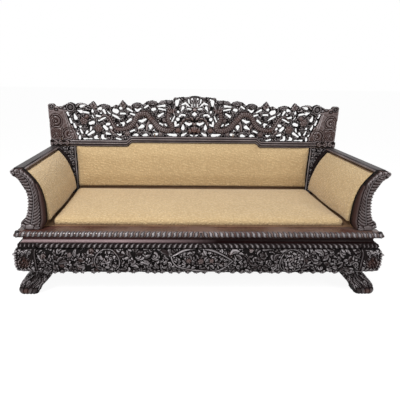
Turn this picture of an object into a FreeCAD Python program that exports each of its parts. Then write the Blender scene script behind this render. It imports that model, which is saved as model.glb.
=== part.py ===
import FreeCAD, Part
import math
import os

os.makedirs("parts", exist_ok=True)
V = FreeCAD.Vector

# A luohan daybed in carved rosewood, in millimetres. The origin is on the floor below
# the middle of the bed, the front faces -Y, and left is at -X.

# The platform that everything stands on, and the space that it takes up
platform_length = 2070.0
platform_depth = 770.0
platform_top = 411.0
platform_thickness = 35.0
platform_rail_width = 100.0
edge_roll = 26.0
edge_drop = 23.0
edge_undercut = 10.0

# The recessed waist below the platform
waist_height = 36.0
waist_setback = 20.0
waist_cove = 14.0
waist_back = 60.0

# The aprons between the legs. Insets are counted inwards from the platform's edge.
apron_height = 184.0
apron_back = 38.0
apron_top_inset = 18.0
bead_height = 30.0
bead_inset = 2.0
bead_groove_inset = 9.0
apron_belly = 20.0
apron_belly_drop = 84.0
apron_foot_inset = 4.0
leaf_pitch = 58.0
leaf_depth = 15.0
medallion_place = 528.0
medallion_radius = 73.0
medallion_rise = 80.0
cartouche_half_length = 172.0
cartouche_half_height = 77.0
boss_proud = 5.0
boss_root = 12.0

# The legs
leg_width = 118.0
knee_proud = 25.0
knee_rounding = 32.0
knee_under = 16.0
ankle_height = 140.0
ankle_outer_inset = 48.0
ankle_shift = 54.0
ankle_rounding = 34.0
paw_height = 50.0
paw_side_proud = 24.0
paw_front_inset = 8.0
paw_longer = 10.0
toe_groove = 7.0
toe_groove_spacing = 34.0
toe_groove_reach = 30.0
leg_tenon = 26.0
leg_tenon_height = 14.0
apron_tenon_length = 28.0
apron_tenon_thickness = 22.0
apron_tenon_height = 90.0
apron_tenon_inset = 5.0
apron_tenon_drop = 42.0

# Fits and cuts
mortise_play = 0.3
soft_gap = 0.4
side_gap = 3.0
overrun = 40.0

# Inside the platform
deck_thickness = 16.0
deck_rebate = 12.0
deck_play = 0.4
deck_board_count = 4
bearer_width = 50.0
bearer_height = 40.0
bearer_tenon = 20.0
bearer_tenon_height = 14.0
bearer_spacing = 500.0
mitre_key_length = 26.0
mitre_key_width = 20.0
mitre_key_thickness = 7.0
mitre_key_inset = 40.0
brace_thickness = 25.0
brace_height = 40.0
brace_drop = 12.0

# The loose seat squab
squab_side_play = 1.0
squab_front_inset = 88.0
squab_rim_rise = 42.0
squab_crown = 12.0
squab_crown_shares = [0.12, 0.26, 0.45, 0.7, 1.0]
squab_waisting = 4.0
squab_edge_round = 14.0
squab_corner = 26.0
squab_frame_inset = 8.0
squab_rail_width = 45.0
squab_rail_height = 20.0
webbing_width = 50.0
webbing_thickness = 1.6
webbing_across_count = 12
webbing_along_count = 5

# The back, drawn upright and then leaned about its front foot
back_front_inset = 76.0
back_lean = 3.0
back_side_inset = 17.0
back_thickness = 44.0
back_post_width = 174.0
back_post_tenon_width = 90.0
back_post_tenon_depth = 15.0
back_post_tenon_thickness = 20.0
moulding_below_arm = 7.0
moulding_height = 42.0
moulding_step = 28.0
moulding_step_start = 480.0
moulding_step_end = 446.0
moulding_proud = 8.0
moulding_fillet = 9.0
bottom_rail_gap = 8.0
bottom_rail_height = 56.0
muntin_width = 60.0
muntin_thickness = 18.0
back_board_thickness = 8.0
back_pad_proud = 8.0
back_pad_crown = 10.0
back_pad_slope = 84.0
back_pad_crown_shares = [0.15, 0.4, 0.7, 1.0]
back_pad_bottom = 49.0
back_pad_round = 12.0
back_pad_waisting = 3.0

# The pierced crest on the moulding
crest_rise = 312.0
crest_thickness = 24.0
crest_setback = 8.0
crest_end_width = 152.0
crest_end_head_width = 100.0
crest_last_drop = 7.6
hole_length_share = 0.009823
hole_width_share = 0.032051
dowel_radius = 5.0
dowel_length = 40.0

# The arms
arm_height = 350.0
arm_span = 166.0
arm_inner_play = 8.0
arm_front_inset = 36.0
arm_facing_thickness = 44.0
arm_stile_thickness = 24.0
arm_stile_inset = 5.0
arm_rail_width = 55.0
arm_rail_height = 20.0
arm_rail_setback = 109.0
arm_rail_round = 10.0
arm_bottom_rail_setback = 40.0
arm_bottom_rail_width = 92.0
arm_bottom_rail_height = 28.0
arm_board_thickness = 10.0
arm_pad_bottom = 34.0
arm_pad_thickness = 25.0
arm_pad_round = 10.0
arm_pad_waisting = 3.0
liner_thickness = 8.0

# Shares of the arm's span and height, bottom to top
facing_inner_shares = [(0.32, 0.0), (0.14, 0.07), (0.085, 0.20), (0.075, 0.35), (0.105, 0.53),
                       (0.19, 0.69), (0.37, 0.84), (0.58, 0.955)]
facing_top_shares = [(0.67, 0.998), (0.84, 0.99)]
facing_roll_shares = [(0.99, 0.945), (0.93, 0.87)]
facing_outer_shares = [(0.88, 0.86), (0.73, 0.755), (0.62, 0.65), (0.57, 0.55), (0.58, 0.44),
                       (0.66, 0.28), (0.80, 0.16)]
facing_foot_shares = [(0.93, 0.10), (0.90, 0.035), (0.83, 0.0)]
pad_inner_shares = [(0.0, 0.0), (0.01, 0.24), (0.12, 0.50), (0.34, 0.80), (0.62, 1.0)]
board_outer_shares = [(0.77, 0.085), (0.63, 0.28), (0.56, 0.45), (0.555, 0.56), (0.61, 0.66),
                      (0.73, 0.77), (0.97, 0.93)]

# The crest's upper outline, from the middle to the end, as shares of the half length and
# of the crest's rise: a round lobe's top and the notch after it, or a corner of a leaf
crest_lobe_shares = [((0.0, 1.0), (0.052, 0.965)), ((0.082, 0.978), (0.118, 0.948)),
                     ((0.134, 0.948), (0.153, 0.86)), ((0.20, 0.892), (0.247, 0.842)),
                     ((0.285, 0.90), (0.335, 0.825)), ((0.39, 0.842), (0.432, 0.782)),
                     (0.475, 0.832), (0.494, 0.905), (0.512, 0.845), (0.54, 0.79),
                     ((0.575, 0.80), (0.605, 0.755)), ((0.635, 0.79), (0.662, 0.75)),
                     (0.672, 0.80), (0.688, 0.865), (0.708, 0.82), (0.728, 0.785),
                     ((0.765, 0.815), (0.815, 0.765))]
crest_last_lobe_share = (0.85, 0.81)
crest_end_lobe_shares = [(0.93, 0.725), (0.962, 0.765), (1.0, 0.81)]

# The openings in the crest: place along its half length and up its rise as shares, then the
# length and width as counts of the two hole shares, and the turn of the long side in degrees
crest_hole_shares = [(0.84, 0.76, 4.3, 2.0, 0.0), (0.815, 0.61, 3.4, 1.7, 0.0),
                     (0.765, 0.64, 2.4, 2.2, 0.0), (0.775, 0.39, 3.8, 3.0, 10.0),
                     (0.718, 0.69, 3.4, 2.6, 20.0), (0.70, 0.475, 6.0, 1.4, 25.0),
                     (0.655, 0.36, 3.4, 2.0, 0.0), (0.68, 0.26, 3.4, 2.6, -30.0),
                     (0.825, 0.15, 4.0, 2.0, 35.0), (0.81, 0.045, 6.4, 1.4, 0.0),
                     (0.745, 0.11, 4.2, 2.0, 40.0), (0.655, 0.13, 3.0, 2.0, 0.0),
                     (0.595, 0.64, 3.8, 3.4, 0.0), (0.595, 0.52, 6.6, 1.7, -33.0),
                     (0.548, 0.70, 2.6, 1.7, 60.0), (0.55, 0.59, 4.0, 1.6, 0.0),
                     (0.49, 0.69, 4.6, 1.7, -35.0), (0.475, 0.575, 4.0, 1.7, -15.0),
                     (0.425, 0.69, 4.6, 2.0, 15.0), (0.495, 0.45, 4.6, 2.4, 40.0),
                     (0.40, 0.45, 5.4, 2.4, 10.0), (0.36, 0.77, 3.8, 1.7, 20.0),
                     (0.31, 0.70, 3.2, 2.4, 0.0), (0.25, 0.775, 5.0, 1.8, 0.0),
                     (0.245, 0.685, 4.4, 1.7, 0.0), (0.255, 0.585, 4.0, 2.4, 45.0),
                     (0.57, 0.37, 3.4, 2.6, 20.0), (0.585, 0.13, 3.4, 2.0, 0.0),
                     (0.475, 0.22, 4.0, 1.7, 20.0), (0.44, 0.125, 4.6, 2.4, 30.0),
                     (0.405, 0.31, 4.6, 2.6, 25.0), (0.34, 0.30, 3.8, 2.6, -20.0),
                     (0.365, 0.13, 4.2, 2.2, 15.0), (0.295, 0.16, 3.2, 2.6, 0.0),
                     (0.255, 0.37, 2.6, 1.4, -35.0), (0.133, 0.845, 3.0, 2.8, 0.0),
                     (0.075, 0.83, 4.0, 1.5, -20.0), (0.097, 0.735, 3.4, 1.8, 40.0),
                     (0.045, 0.71, 2.8, 1.6, 10.0), (0.102, 0.57, 4.0, 2.0, 20.0),
                     (0.168, 0.485, 4.6, 1.2, 65.0), (0.12, 0.455, 2.4, 2.2, 0.0),
                     (0.142, 0.35, 3.4, 2.8, 0.0), (0.045, 0.39, 4.6, 2.6, -10.0),
                     (0.088, 0.27, 3.0, 3.0, 60.0), (0.175, 0.13, 6.0, 2.2, -25.0),
                     (0.083, 0.135, 3.6, 2.2, 40.0), (0.225, 0.14, 3.2, 1.8, 20.0)]
crest_middle_hole_shares = [(0.60, 4.2, 3.0), (0.105, 4.2, 2.0)]

# Worked out from the sizes above
half_length = platform_length / 2
half_depth = platform_depth / 2
ankle_inner_inset = leg_width + ankle_shift
paw_length = leg_width + paw_longer
moulding_low = arm_height - moulding_below_arm
back_half_length = half_length - back_side_inset
back_opening_half = back_half_length - back_post_width
squab_half_length = back_opening_half - squab_side_play
arm_inner = back_opening_half + arm_inner_play
arm_rail_inner = arm_inner + arm_rail_setback
arm_bottom_rail_inner = arm_inner + arm_bottom_rail_setback
muntin_place = back_opening_half / 3
crest_end_foot = back_half_length - crest_end_width
crest_end_head = back_half_length - crest_end_head_width
hole_length = back_half_length * hole_length_share
hole_width = crest_rise * hole_width_share
platform_bottom = platform_top - platform_thickness
waist_bottom = platform_bottom - waist_height
apron_bottom = waist_bottom - apron_height
knee_height = waist_bottom - bead_height - knee_proud
deck_floor = platform_top - deck_thickness
back_foot = half_depth - back_front_inset
arm_top = platform_top + arm_height
arm_front = arm_front_inset - half_depth
arm_back_of_facing = arm_front + arm_facing_thickness
arm_stile_front = back_foot - arm_stile_thickness


def spot(plane, a, b, at):
    if plane == "xz":
        return V(a, at, b)
    if plane == "yz":
        return V(at, a, b)
    return V(a, b, at)


def outline(path, plane="xz", at=0.0):
    """A closed wire. A pair is a corner, two pairs are an arc's middle and end, and a
    list is a smooth curve on through its points."""
    made = []
    here = path[0]
    for step in path[1:]:
        start = spot(plane, here[0], here[1], at)
        if isinstance(step, list):
            curve = Part.BSplineCurve()
            curve.interpolate([start] + [spot(plane, a, b, at) for a, b in step])
            made.append(curve.toShape())
            here = step[-1]
        elif isinstance(step[0], tuple):
            middle = spot(plane, step[0][0], step[0][1], at)
            made.append(Part.Arc(start, middle, spot(plane, step[1][0], step[1][1], at)).toShape())
            here = step[1]
        else:
            made.append(Part.LineSegment(start, spot(plane, step[0], step[1], at)).toShape())
            here = step
    if here != path[0]:
        start = spot(plane, here[0], here[1], at)
        made.append(Part.LineSegment(start, spot(plane, path[0][0], path[0][1], at)).toShape())
    return Part.Wire(made)


def prism(path, plane, low, high):
    face = Part.Face(outline(path, plane, low))
    return face.extrude(spot(plane, 0, 0, high - low))


def box(x_low, x_high, y_low, y_high, z_low, z_high):
    return Part.makeBox(x_high - x_low, y_high - y_low, z_high - z_low, V(x_low, y_low, z_low))


def mirrored(shape):
    return shape.mirror(V(0, 0, 0), V(1, 0, 0))


def to_rear(shape):
    return shape.mirror(V(0, 0, 0), V(0, 1, 0))


def turned(shape, angle):
    copy = shape.copy()
    copy.rotate(V(0, 0, 0), V(0, 0, 1), angle)
    return copy


def leaned(shape):
    copy = shape.copy()
    copy.rotate(V(0, back_foot, platform_top), V(1, 0, 0), -back_lean)
    return copy


def arc_middle(centre_a, centre_b, radius, degrees):
    turn = math.radians(degrees)
    return (centre_a + radius * math.cos(turn), centre_b + radius * math.sin(turn))


side_turn_shares = {"front": 0.0, "right": 0.25, "rear": 0.5, "left": 0.75}
sides = {}
for side, share in side_turn_shares.items():
    run, other = (half_length, half_depth) if side in ("front", "rear") else (half_depth, half_length)
    sides[side] = (run, other, share * 360)


def ring_bar(profile, side, depth, low, high):
    """One side of a mitred frame, from a profile of inset and height."""
    run, other, angle = sides[side]
    path = []
    for step in profile:
        if isinstance(step[0], tuple):
            path.append(tuple((inset - other, z) for inset, z in step))
        else:
            path.append((step[0] - other, step[1]))
    bar = prism(path, "yz", -run - overrun, run + overrun)
    keep = prism([(-run - overrun, -other - overrun), (run + overrun, -other - overrun),
                  (run - depth, depth - other), (depth - run, depth - other)], "xy", low, high)
    return turned(bar.common(keep), angle)


parts = {}


# Platform rails, with a rolled edge and a rebate for the deck
rail_profile = [(platform_rail_width, platform_bottom), (platform_rail_width, deck_floor),
                (platform_rail_width - deck_rebate, deck_floor),
                (platform_rail_width - deck_rebate, platform_top), (edge_roll, platform_top),
                ((edge_roll * (1 - math.sqrt(0.5)), platform_top - edge_drop * (1 - math.sqrt(0.5))),
                 (0.0, platform_top - edge_drop)),
                (edge_undercut, platform_bottom)]
rails = {}
for side in sides:
    rails[side] = ring_bar(rail_profile, side, platform_rail_width, platform_bottom - overrun,
                           platform_top + overrun)

# The waist, a cove that runs all round
waist_profile = [(waist_back, platform_bottom), (waist_setback, platform_bottom),
                 ((waist_setback + waist_cove, (platform_bottom + waist_bottom) / 2),
                  (waist_setback, waist_bottom)),
                 (waist_back, waist_bottom)]
for side in sides:
    parts["waist_" + side] = ring_bar(waist_profile, side, waist_back, waist_bottom - overrun,
                                      platform_bottom + overrun)

# Loose keys across the platform's mitres
key_middle = (platform_bottom + deck_floor) / 2
key = box(-mitre_key_length / 2, mitre_key_length / 2, -mitre_key_width / 2, mitre_key_width / 2,
          key_middle - mitre_key_thickness / 2, key_middle + mitre_key_thickness / 2)
key.rotate(V(0, 0, 0), V(0, 0, 1), 45)
key.translate(V(half_length - mitre_key_inset, mitre_key_inset - half_depth, 0))
key_slot = box(-mitre_key_length / 2 - mortise_play, mitre_key_length / 2 + mortise_play,
               -mitre_key_width / 2 - mortise_play, mitre_key_width / 2 + mortise_play,
               key_middle - mitre_key_thickness / 2 - mortise_play,
               key_middle + mitre_key_thickness / 2 + mortise_play)
key_slot.rotate(V(0, 0, 0), V(0, 0, 1), 45)
key_slot.translate(V(half_length - mitre_key_inset, mitre_key_inset - half_depth, 0))
keys = [key, mirrored(key), to_rear(key), mirrored(to_rear(key))]
key_slots = [key_slot, mirrored(key_slot), to_rear(key_slot), mirrored(to_rear(key_slot))]


# Legs: a square knee that swells, a narrow ankle and a paw that points out at the corner
def leg_section(z, side_inset, front_inset, width, rounding):
    x_high = half_length - side_inset
    x_low = x_high - width
    y_low = front_inset - half_depth
    y_high = y_low + width
    r = rounding
    path = [(x_low + r, y_low), (x_high - r, y_low),
            (arc_middle(x_high - r, y_low + r, r, -45), (x_high, y_low + r)), (x_high, y_high - r),
            (arc_middle(x_high - r, y_high - r, r, 45), (x_high - r, y_high)), (x_low + r, y_high),
            (arc_middle(x_low + r, y_high - r, r, 135), (x_low, y_high - r)), (x_low, y_low + r),
            (arc_middle(x_low + r, y_low + r, r, 225), (x_low + r, y_low))]
    return outline(path, "xy", z)


def leg_front_right():
    r = knee_rounding
    knee_low = apron_bottom + mortise_play
    knee_rows = [(waist_bottom, apron_top_inset, r * 0.4),
                 (waist_bottom - bead_height / 2, bead_inset, r * 0.6),
                 (knee_height, -knee_proud, r), ((knee_height + knee_low) / 2, -knee_proud, r),
                 (knee_low + knee_under * 1.5, -knee_proud * 0.8, r), (knee_low, knee_under, r)]
    knee = Part.makeLoft([leg_section(z, inset, inset, leg_width - inset, rounding)
                          for z, inset, rounding in knee_rows], True, False)
    r = ankle_rounding
    ankle_width = ankle_inner_inset - ankle_outer_inset
    middle = (ankle_height + paw_height) / 2
    side = -paw_side_proud
    front = paw_front_inset
    lower_rows = [(knee_low + knee_under * 2, knee_under, knee_under, leg_width - knee_under, r * 0.9),
                  (ankle_height, ankle_outer_inset, ankle_outer_inset, ankle_width, r),
                  (middle, (ankle_outer_inset + side) / 2, (ankle_outer_inset + front) / 2,
                   (ankle_width + paw_length) / 2, r),
                  (paw_height, side, front, paw_length, r), (paw_height / 3, side, front, paw_length, r),
                  (0.0, side * 0.6, front * 1.5, paw_length * 0.92, r * 0.8)]
    lower = Part.makeLoft([leg_section(*row) for row in lower_rows], True, False)
    inner_x = half_length - leg_width
    inner_y = leg_width - half_depth
    apron_rear = apron_back - half_depth
    apron_side = half_length - apron_back
    behind_front_apron = box(inner_x - half_depth, inner_x, -half_depth - overrun,
                             apron_rear + mortise_play, apron_bottom - mortise_play, waist_bottom)
    behind_side_apron = box(apron_side - mortise_play, half_length + overrun, inner_y,
                            inner_y + half_depth, apron_bottom - mortise_play, waist_bottom)
    post = box(inner_x, half_length - waist_back, waist_back - half_depth, inner_y,
               waist_bottom - overrun, platform_bottom)
    body = knee.fuse([lower, post, leg_tenon_shape(0.0)]).removeSplitter()
    return body.cut(Part.makeCompound([behind_front_apron, behind_side_apron] + toe_grooves()))


def leg_tenon_shape(play):
    middle = (leg_width + waist_back) / 2
    half = leg_tenon / 2 + play
    x = half_length - middle
    y = middle - half_depth
    return box(x - half, x + half, y - half, y + half, platform_bottom - overrun * (play == 0),
               platform_bottom + leg_tenon_height + play)


def toe_grooves():
    """Upright grooves between the toes, cut into the two outer faces of the paw."""
    cuts = []
    x_outer = half_length + paw_side_proud
    y_outer = paw_front_inset - half_depth
    for place in (-toe_groove_spacing / 2, toe_groove_spacing / 2):
        cuts.append(Part.makeCylinder(toe_groove, toe_groove_reach * 2,
                                      V(x_outer - paw_length / 2 + place, y_outer, -toe_groove_reach)))
        cuts.append(Part.makeCylinder(toe_groove, toe_groove_reach * 2,
                                      V(x_outer, y_outer + paw_length / 2 + place, -toe_groove_reach)))
    return cuts


def apron_tenon(run, other, play):
    """A tenon at the right end of a front apron, in the bar's own place."""
    top = waist_bottom - apron_tenon_drop
    end = run - leg_width
    return box(end - overrun * (play == 0), end + apron_tenon_length + play,
               apron_tenon_inset - other - play,
               apron_tenon_inset + apron_tenon_thickness - other + play,
               top - apron_tenon_height - play, top + play)


def apron_mortises():
    run, other, angle = sides["front"]
    front = apron_tenon(run, other, mortise_play)
    run, other, angle = sides["right"]
    side = apron_tenon(run, other, mortise_play)
    return [front, turned(mirrored(side), angle)]


# Aprons, with a bead along the top, a belly and a scalloped lower edge
def apron(side, carved):
    run, other, angle = sides[side]
    end = run - leg_width
    bead_low = waist_bottom - bead_height
    belly_z = waist_bottom - apron_belly_drop
    profile = [(apron_back, apron_bottom), (apron_back, waist_bottom), (apron_top_inset, waist_bottom),
               ((bead_inset, waist_bottom - bead_height / 2), (bead_groove_inset, bead_low)),
               ((-apron_belly, belly_z), (apron_foot_inset, apron_bottom))]
    path = []
    for step in profile:
        if isinstance(step[0], tuple):
            path.append(tuple((inset - other, z) for inset, z in step))
        else:
            path.append((step[0] - other, step[1]))
    bar = prism(path, "yz", -end, end)
    if carved:
        bosses = []
        if side == "front":
            bosses = [Part.makeCylinder(medallion_radius, boss_proud + boss_root,
                                        V(place, -other - apron_belly - boss_proud,
                                          apron_bottom + medallion_rise), V(0, 1, 0))
                      for place in (-medallion_place, medallion_place)]
            bosses.append(oval(0.0, apron_bottom + cartouche_half_height, cartouche_half_length * 2,
                               cartouche_half_height * 2, 0.0, -other - apron_belly - boss_proud,
                               boss_proud + boss_root))
        bar = bar.cut(Part.makeCompound(scallops(end, other)))
        if bosses:
            bar = bar.fuse(bosses).removeSplitter()
    right = apron_tenon(run, other, 0.0)
    tenons = [right, mirrored(right)]
    return turned(bar.fuse(tenons).removeSplitter(), angle)


def scallops(end, other):
    """The notches between the leaf tips, each a shallow round cut."""
    count = int(round(2 * end / leaf_pitch))
    pitch = 2 * end / count
    radius = (pitch * pitch / 4 + leaf_depth * leaf_depth) / (2 * leaf_depth)
    return [Part.makeCylinder(radius, overrun * 3,
                              V(-end + (number + 0.5) * pitch, -other - overrun,
                                apron_bottom + leaf_depth - radius), V(0, 1, 0))
            for number in range(count)]


def oval(x, z, length, width, degrees, y, depth):
    major = max(length, width) / 2
    minor = min(length, width) / 2
    ellipse = Part.Ellipse(V(0, 0, 0), major, minor)
    face = Part.Face(Part.Wire(ellipse.toShape()))
    if width > length:
        face.rotate(V(0, 0, 0), V(0, 0, 1), 90)
    face.rotate(V(0, 0, 0), V(0, 0, 1), degrees)
    face.rotate(V(0, 0, 0), V(1, 0, 0), 90)
    face.translate(V(x, y, z))
    return face.extrude(V(0, depth, 0))


leg = leg_front_right().cut(Part.makeCompound(apron_mortises()))
parts["leg_front_right"] = leg
parts["leg_front_left"] = mirrored(leg)
parts["leg_rear_right"] = to_rear(leg)
parts["leg_rear_left"] = mirrored(to_rear(leg))
for side in sides:
    parts["apron_" + side] = apron(side, side != "rear")

leg_mortise = leg_tenon_shape(mortise_play)
leg_mortises = [leg_mortise, mirrored(leg_mortise), to_rear(leg_mortise), mirrored(to_rear(leg_mortise))]

# Braces across the corners behind the legs
brace_top = waist_bottom - brace_drop
brace_near = leg_width * 2 - apron_back + mortise_play * 2
brace_far = brace_near + brace_thickness * math.sqrt(2)
brace = prism([(half_length - apron_back, brace_near - half_depth),
               (half_length - apron_back, brace_far - half_depth),
               (half_length - brace_far, apron_back - half_depth),
               (half_length - brace_near, apron_back - half_depth)], "xy",
              brace_top - brace_height, brace_top)
parts["corner_braces"] = Part.makeCompound([brace, mirrored(brace), to_rear(brace),
                                            mirrored(to_rear(brace))])
parts["mitre_keys"] = Part.makeCompound(keys)

# Seat bearers from the front rail to the rear rail, tenoned into both
bearer_half = half_depth - platform_rail_width


def bearer(x, play):
    half = bearer_width / 2
    beam = box(x - half, x + half, -bearer_half, bearer_half, deck_floor - bearer_height, deck_floor)
    tenon_low = platform_bottom + mortise_play * 3
    tenon = box(x - half / 2 - play, x + half / 2 + play, -bearer_half - bearer_tenon - play,
                bearer_half + bearer_tenon + play, tenon_low - play,
                tenon_low + bearer_tenon_height + play)
    if play:
        return tenon
    return beam.fuse(tenon).removeSplitter()


bearer_places = [(number - 1) * bearer_spacing for number in range(3)]
for number, x in enumerate(bearer_places):
    parts["seat_bearer_%d" % (number + 1)] = bearer(x, 0.0)

# Deck boards along the bed, flush with the platform's top
deck_half_length = half_length - platform_rail_width + deck_rebate - deck_play
deck_half_depth = half_depth - platform_rail_width + deck_rebate - deck_play
board_depth = (2 * deck_half_depth - (deck_board_count - 1) * deck_play) / deck_board_count
for number in range(deck_board_count):
    front = -deck_half_depth + number * (board_depth + deck_play)
    parts["deck_board_%d" % (number + 1)] = box(-deck_half_length, deck_half_length, front,
                                                front + board_depth, deck_floor, platform_top)

# The squab: a frame, webbing on it and the stuffed cushion over both
squab_front = squab_front_inset - half_depth
squab_rear = back_foot - side_gap - back_pad_proud
frame_x = squab_half_length - squab_frame_inset
frame_front = squab_front + squab_frame_inset
frame_rear = squab_rear - squab_frame_inset
frame_top = platform_top + squab_rail_height
parts["squab_rail_front"] = box(-frame_x, frame_x, frame_front, frame_front + squab_rail_width,
                                platform_top, frame_top)
parts["squab_rail_rear"] = box(-frame_x, frame_x, frame_rear - squab_rail_width, frame_rear,
                               platform_top, frame_top)
squab_side = box(frame_x - squab_rail_width, frame_x, frame_front + squab_rail_width,
                 frame_rear - squab_rail_width, platform_top, frame_top)
parts["squab_rail_right"] = squab_side
parts["squab_rail_left"] = mirrored(squab_side)
straps = []
for number in range(webbing_across_count):
    x = -frame_x + (number + 0.5) * 2 * frame_x / webbing_across_count
    straps.append(box(x - webbing_width / 2, x + webbing_width / 2, frame_front, frame_rear,
                      frame_top, frame_top + webbing_thickness))
for number in range(webbing_along_count):
    y = frame_front + (number + 0.5) * (frame_rear - frame_front) / webbing_along_count
    straps.append(box(-frame_x, frame_x, y - webbing_width / 2, y + webbing_width / 2,
                      frame_top + webbing_thickness, frame_top + 2 * webbing_thickness))
parts["squab_webbing"] = Part.makeCompound(straps)


def cushion_wire(half_x, half_y, corner, waisting, z, centre_y):
    """A rectangle with rounded corners whose sides are drawn in at their middles."""
    low = centre_y - half_y
    high = centre_y + half_y
    r = corner
    path = [(r - half_x, low), ((0.0, low + waisting), (half_x - r, low)),
            (arc_middle(half_x - r, low + r, r, -45), (half_x, low + r)),
            ((half_x - waisting, centre_y), (half_x, high - r)),
            (arc_middle(half_x - r, high - r, r, 45), (half_x - r, high)),
            ((0.0, high - waisting), (r - half_x, high)),
            (arc_middle(r - half_x, high - r, r, 135), (-half_x, high - r)),
            ((waisting - half_x, centre_y), (-half_x, low + r)),
            (arc_middle(r - half_x, low + r, r, 225), (r - half_x, low))]
    return outline(path, "xy", z)


def seat_cushion():
    centre = (squab_front + squab_rear) / 2
    half_y = (squab_rear - squab_front) / 2
    rim = platform_top + squab_rim_rise
    r = squab_edge_round
    rows = [(r * 0.2, platform_top + soft_gap), (0.0, (platform_top + rim) / 2), (0.0, rim - r),
            (r * 0.1, rim - r * 0.55), (r * 0.3, rim - r * 0.3), (r * 0.6, rim - r * 0.1), (r, rim)]
    flat = squab_corner * 1.144
    for share in squab_crown_shares:
        rows.append((r + (half_y - flat - r) * share,
                     rim + squab_crown * math.sin(share * math.pi / 2)))
    wires = [cushion_wire(squab_half_length - inset, half_y - inset, squab_corner, squab_waisting,
                          z, centre) for inset, z in rows]
    body = Part.makeLoft(wires, True, True)
    pocket = box(-frame_x - soft_gap, frame_x + soft_gap, frame_front - soft_gap,
                 frame_rear + soft_gap, platform_top - overrun,
                 frame_top + 2 * webbing_thickness + soft_gap)
    return body.cut(pocket)


parts["seat_cushion"] = seat_cushion()


# The back, drawn upright with its front at back_foot
def stepped(low, middle_low, half):
    """The right half of a line that steps up near the middle: points from the end inwards."""
    start = moulding_step_start
    end = moulding_step_end
    middle = (start + end) / 2
    halfway = (low + middle_low) / 2
    bend = (start - end) / 4
    rise = (middle_low - low) / 8
    return [(half, low), (start, low), ((middle + bend, low + rise), (middle, halfway)),
            ((middle - bend, middle_low - rise), (end, middle_low))]


def both_halves(right_half):
    """A stepped line from the right end to the left end."""
    line = list(right_half)
    plain = [step[1] if isinstance(step[0], tuple) else step for step in right_half]
    middles = [step[0] if isinstance(step[0], tuple) else None for step in right_half]
    for number in range(len(plain) - 1, -1, -1):
        corner = (-plain[number][0], plain[number][1])
        if number + 1 < len(plain) and middles[number + 1] is not None:
            middle = middles[number + 1]
            line.append(((-middle[0], middle[1]), corner))
        else:
            line.append(corner)
    return line


moulding_bottom = platform_top + moulding_low
moulding_top = moulding_bottom + moulding_height
lower_line = both_halves(stepped(moulding_bottom, moulding_bottom + moulding_step, back_half_length))
upper_line = both_halves(stepped(moulding_top, moulding_top + moulding_step, back_half_length))


def band(low_path, high_path, front, depth):
    """A board between two stepped lines."""
    plain = [step[1] if isinstance(step[0], tuple) else step for step in high_path]
    middles = [step[0] if isinstance(step[0], tuple) else None for step in high_path]
    back = [plain[-1]]
    for number in range(len(plain) - 2, -1, -1):
        if middles[number + 1] is not None:
            back.append((middles[number + 1], plain[number]))
        else:
            back.append(plain[number])
    return prism(list(low_path) + back, "xz", front, front + depth)


fillet_low = both_halves(stepped(moulding_bottom + moulding_fillet,
                                 moulding_bottom + moulding_fillet + moulding_step, back_half_length))
fillet_high = both_halves(stepped(moulding_top - moulding_fillet,
                                  moulding_top - moulding_fillet + moulding_step, back_half_length))
top_rail = band(lower_line, upper_line, back_foot, back_thickness)
top_rail = top_rail.fuse(band(fillet_low, fillet_high, back_foot - moulding_proud,
                              moulding_proud * 2)).removeSplitter()

opening_path = both_halves(stepped(moulding_bottom, moulding_bottom + moulding_step,
                                   back_opening_half))
bottom_rail_low = platform_top + bottom_rail_gap
bottom_rail_top = bottom_rail_low + bottom_rail_height
rebate_front = back_foot + back_thickness / 2
bottom_rail = box(-back_opening_half, back_opening_half, rebate_front, back_foot + back_thickness,
                  bottom_rail_low, bottom_rail_top)

post_tenon_x = (back_half_length + back_opening_half) / 2


def post_tenon(play):
    half = back_post_tenon_width / 2 + play
    middle = back_foot + back_thickness / 2
    thick = back_post_tenon_thickness / 2 + play
    return box(post_tenon_x - half, post_tenon_x + half, middle - thick, middle + thick,
               platform_top - back_post_tenon_depth - play, platform_top + overrun * (play == 0))


back_post = box(back_opening_half, back_half_length, back_foot, back_foot + back_thickness,
                platform_top - overrun, moulding_bottom)
post_foot = box(back_opening_half - overrun, back_half_length + overrun, back_foot - overrun,
                back_foot + back_thickness + overrun, platform_top - overrun * 2, platform_top)
back_post = leaned(back_post).cut(post_foot).fuse(post_tenon(0.0)).removeSplitter()
parts["back_post_right"] = back_post
parts["back_post_left"] = mirrored(back_post)
parts["back_bottom_rail"] = leaned(bottom_rail)

opening_blank = prism([(back_opening_half, bottom_rail_top)] + opening_path
                      + [(-back_opening_half, bottom_rail_top)], "xz", rebate_front,
                      rebate_front + back_board_thickness)
muntin_blank = prism([(back_opening_half, bottom_rail_top)] + opening_path
                     + [(-back_opening_half, bottom_rail_top)], "xz", rebate_front,
                     rebate_front + muntin_thickness)
muntin_low = muntin_place - muntin_width / 2
muntin_high = muntin_place + muntin_width / 2


def strip(blank, x_low, x_high):
    room = blank.BoundBox
    return blank.common(box(x_low, x_high, room.YMin - overrun, room.YMax + overrun,
                            room.ZMin - overrun, room.ZMax + overrun))


muntin = leaned(strip(muntin_blank, muntin_low, muntin_high))
parts["back_muntin_right"] = muntin
parts["back_muntin_left"] = mirrored(muntin)
parts["back_board_middle"] = leaned(strip(opening_blank, -muntin_low, muntin_low))
board_right = leaned(strip(opening_blank, muntin_high, back_opening_half))
parts["back_board_right"] = board_right
parts["back_board_left"] = mirrored(board_right)


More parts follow.
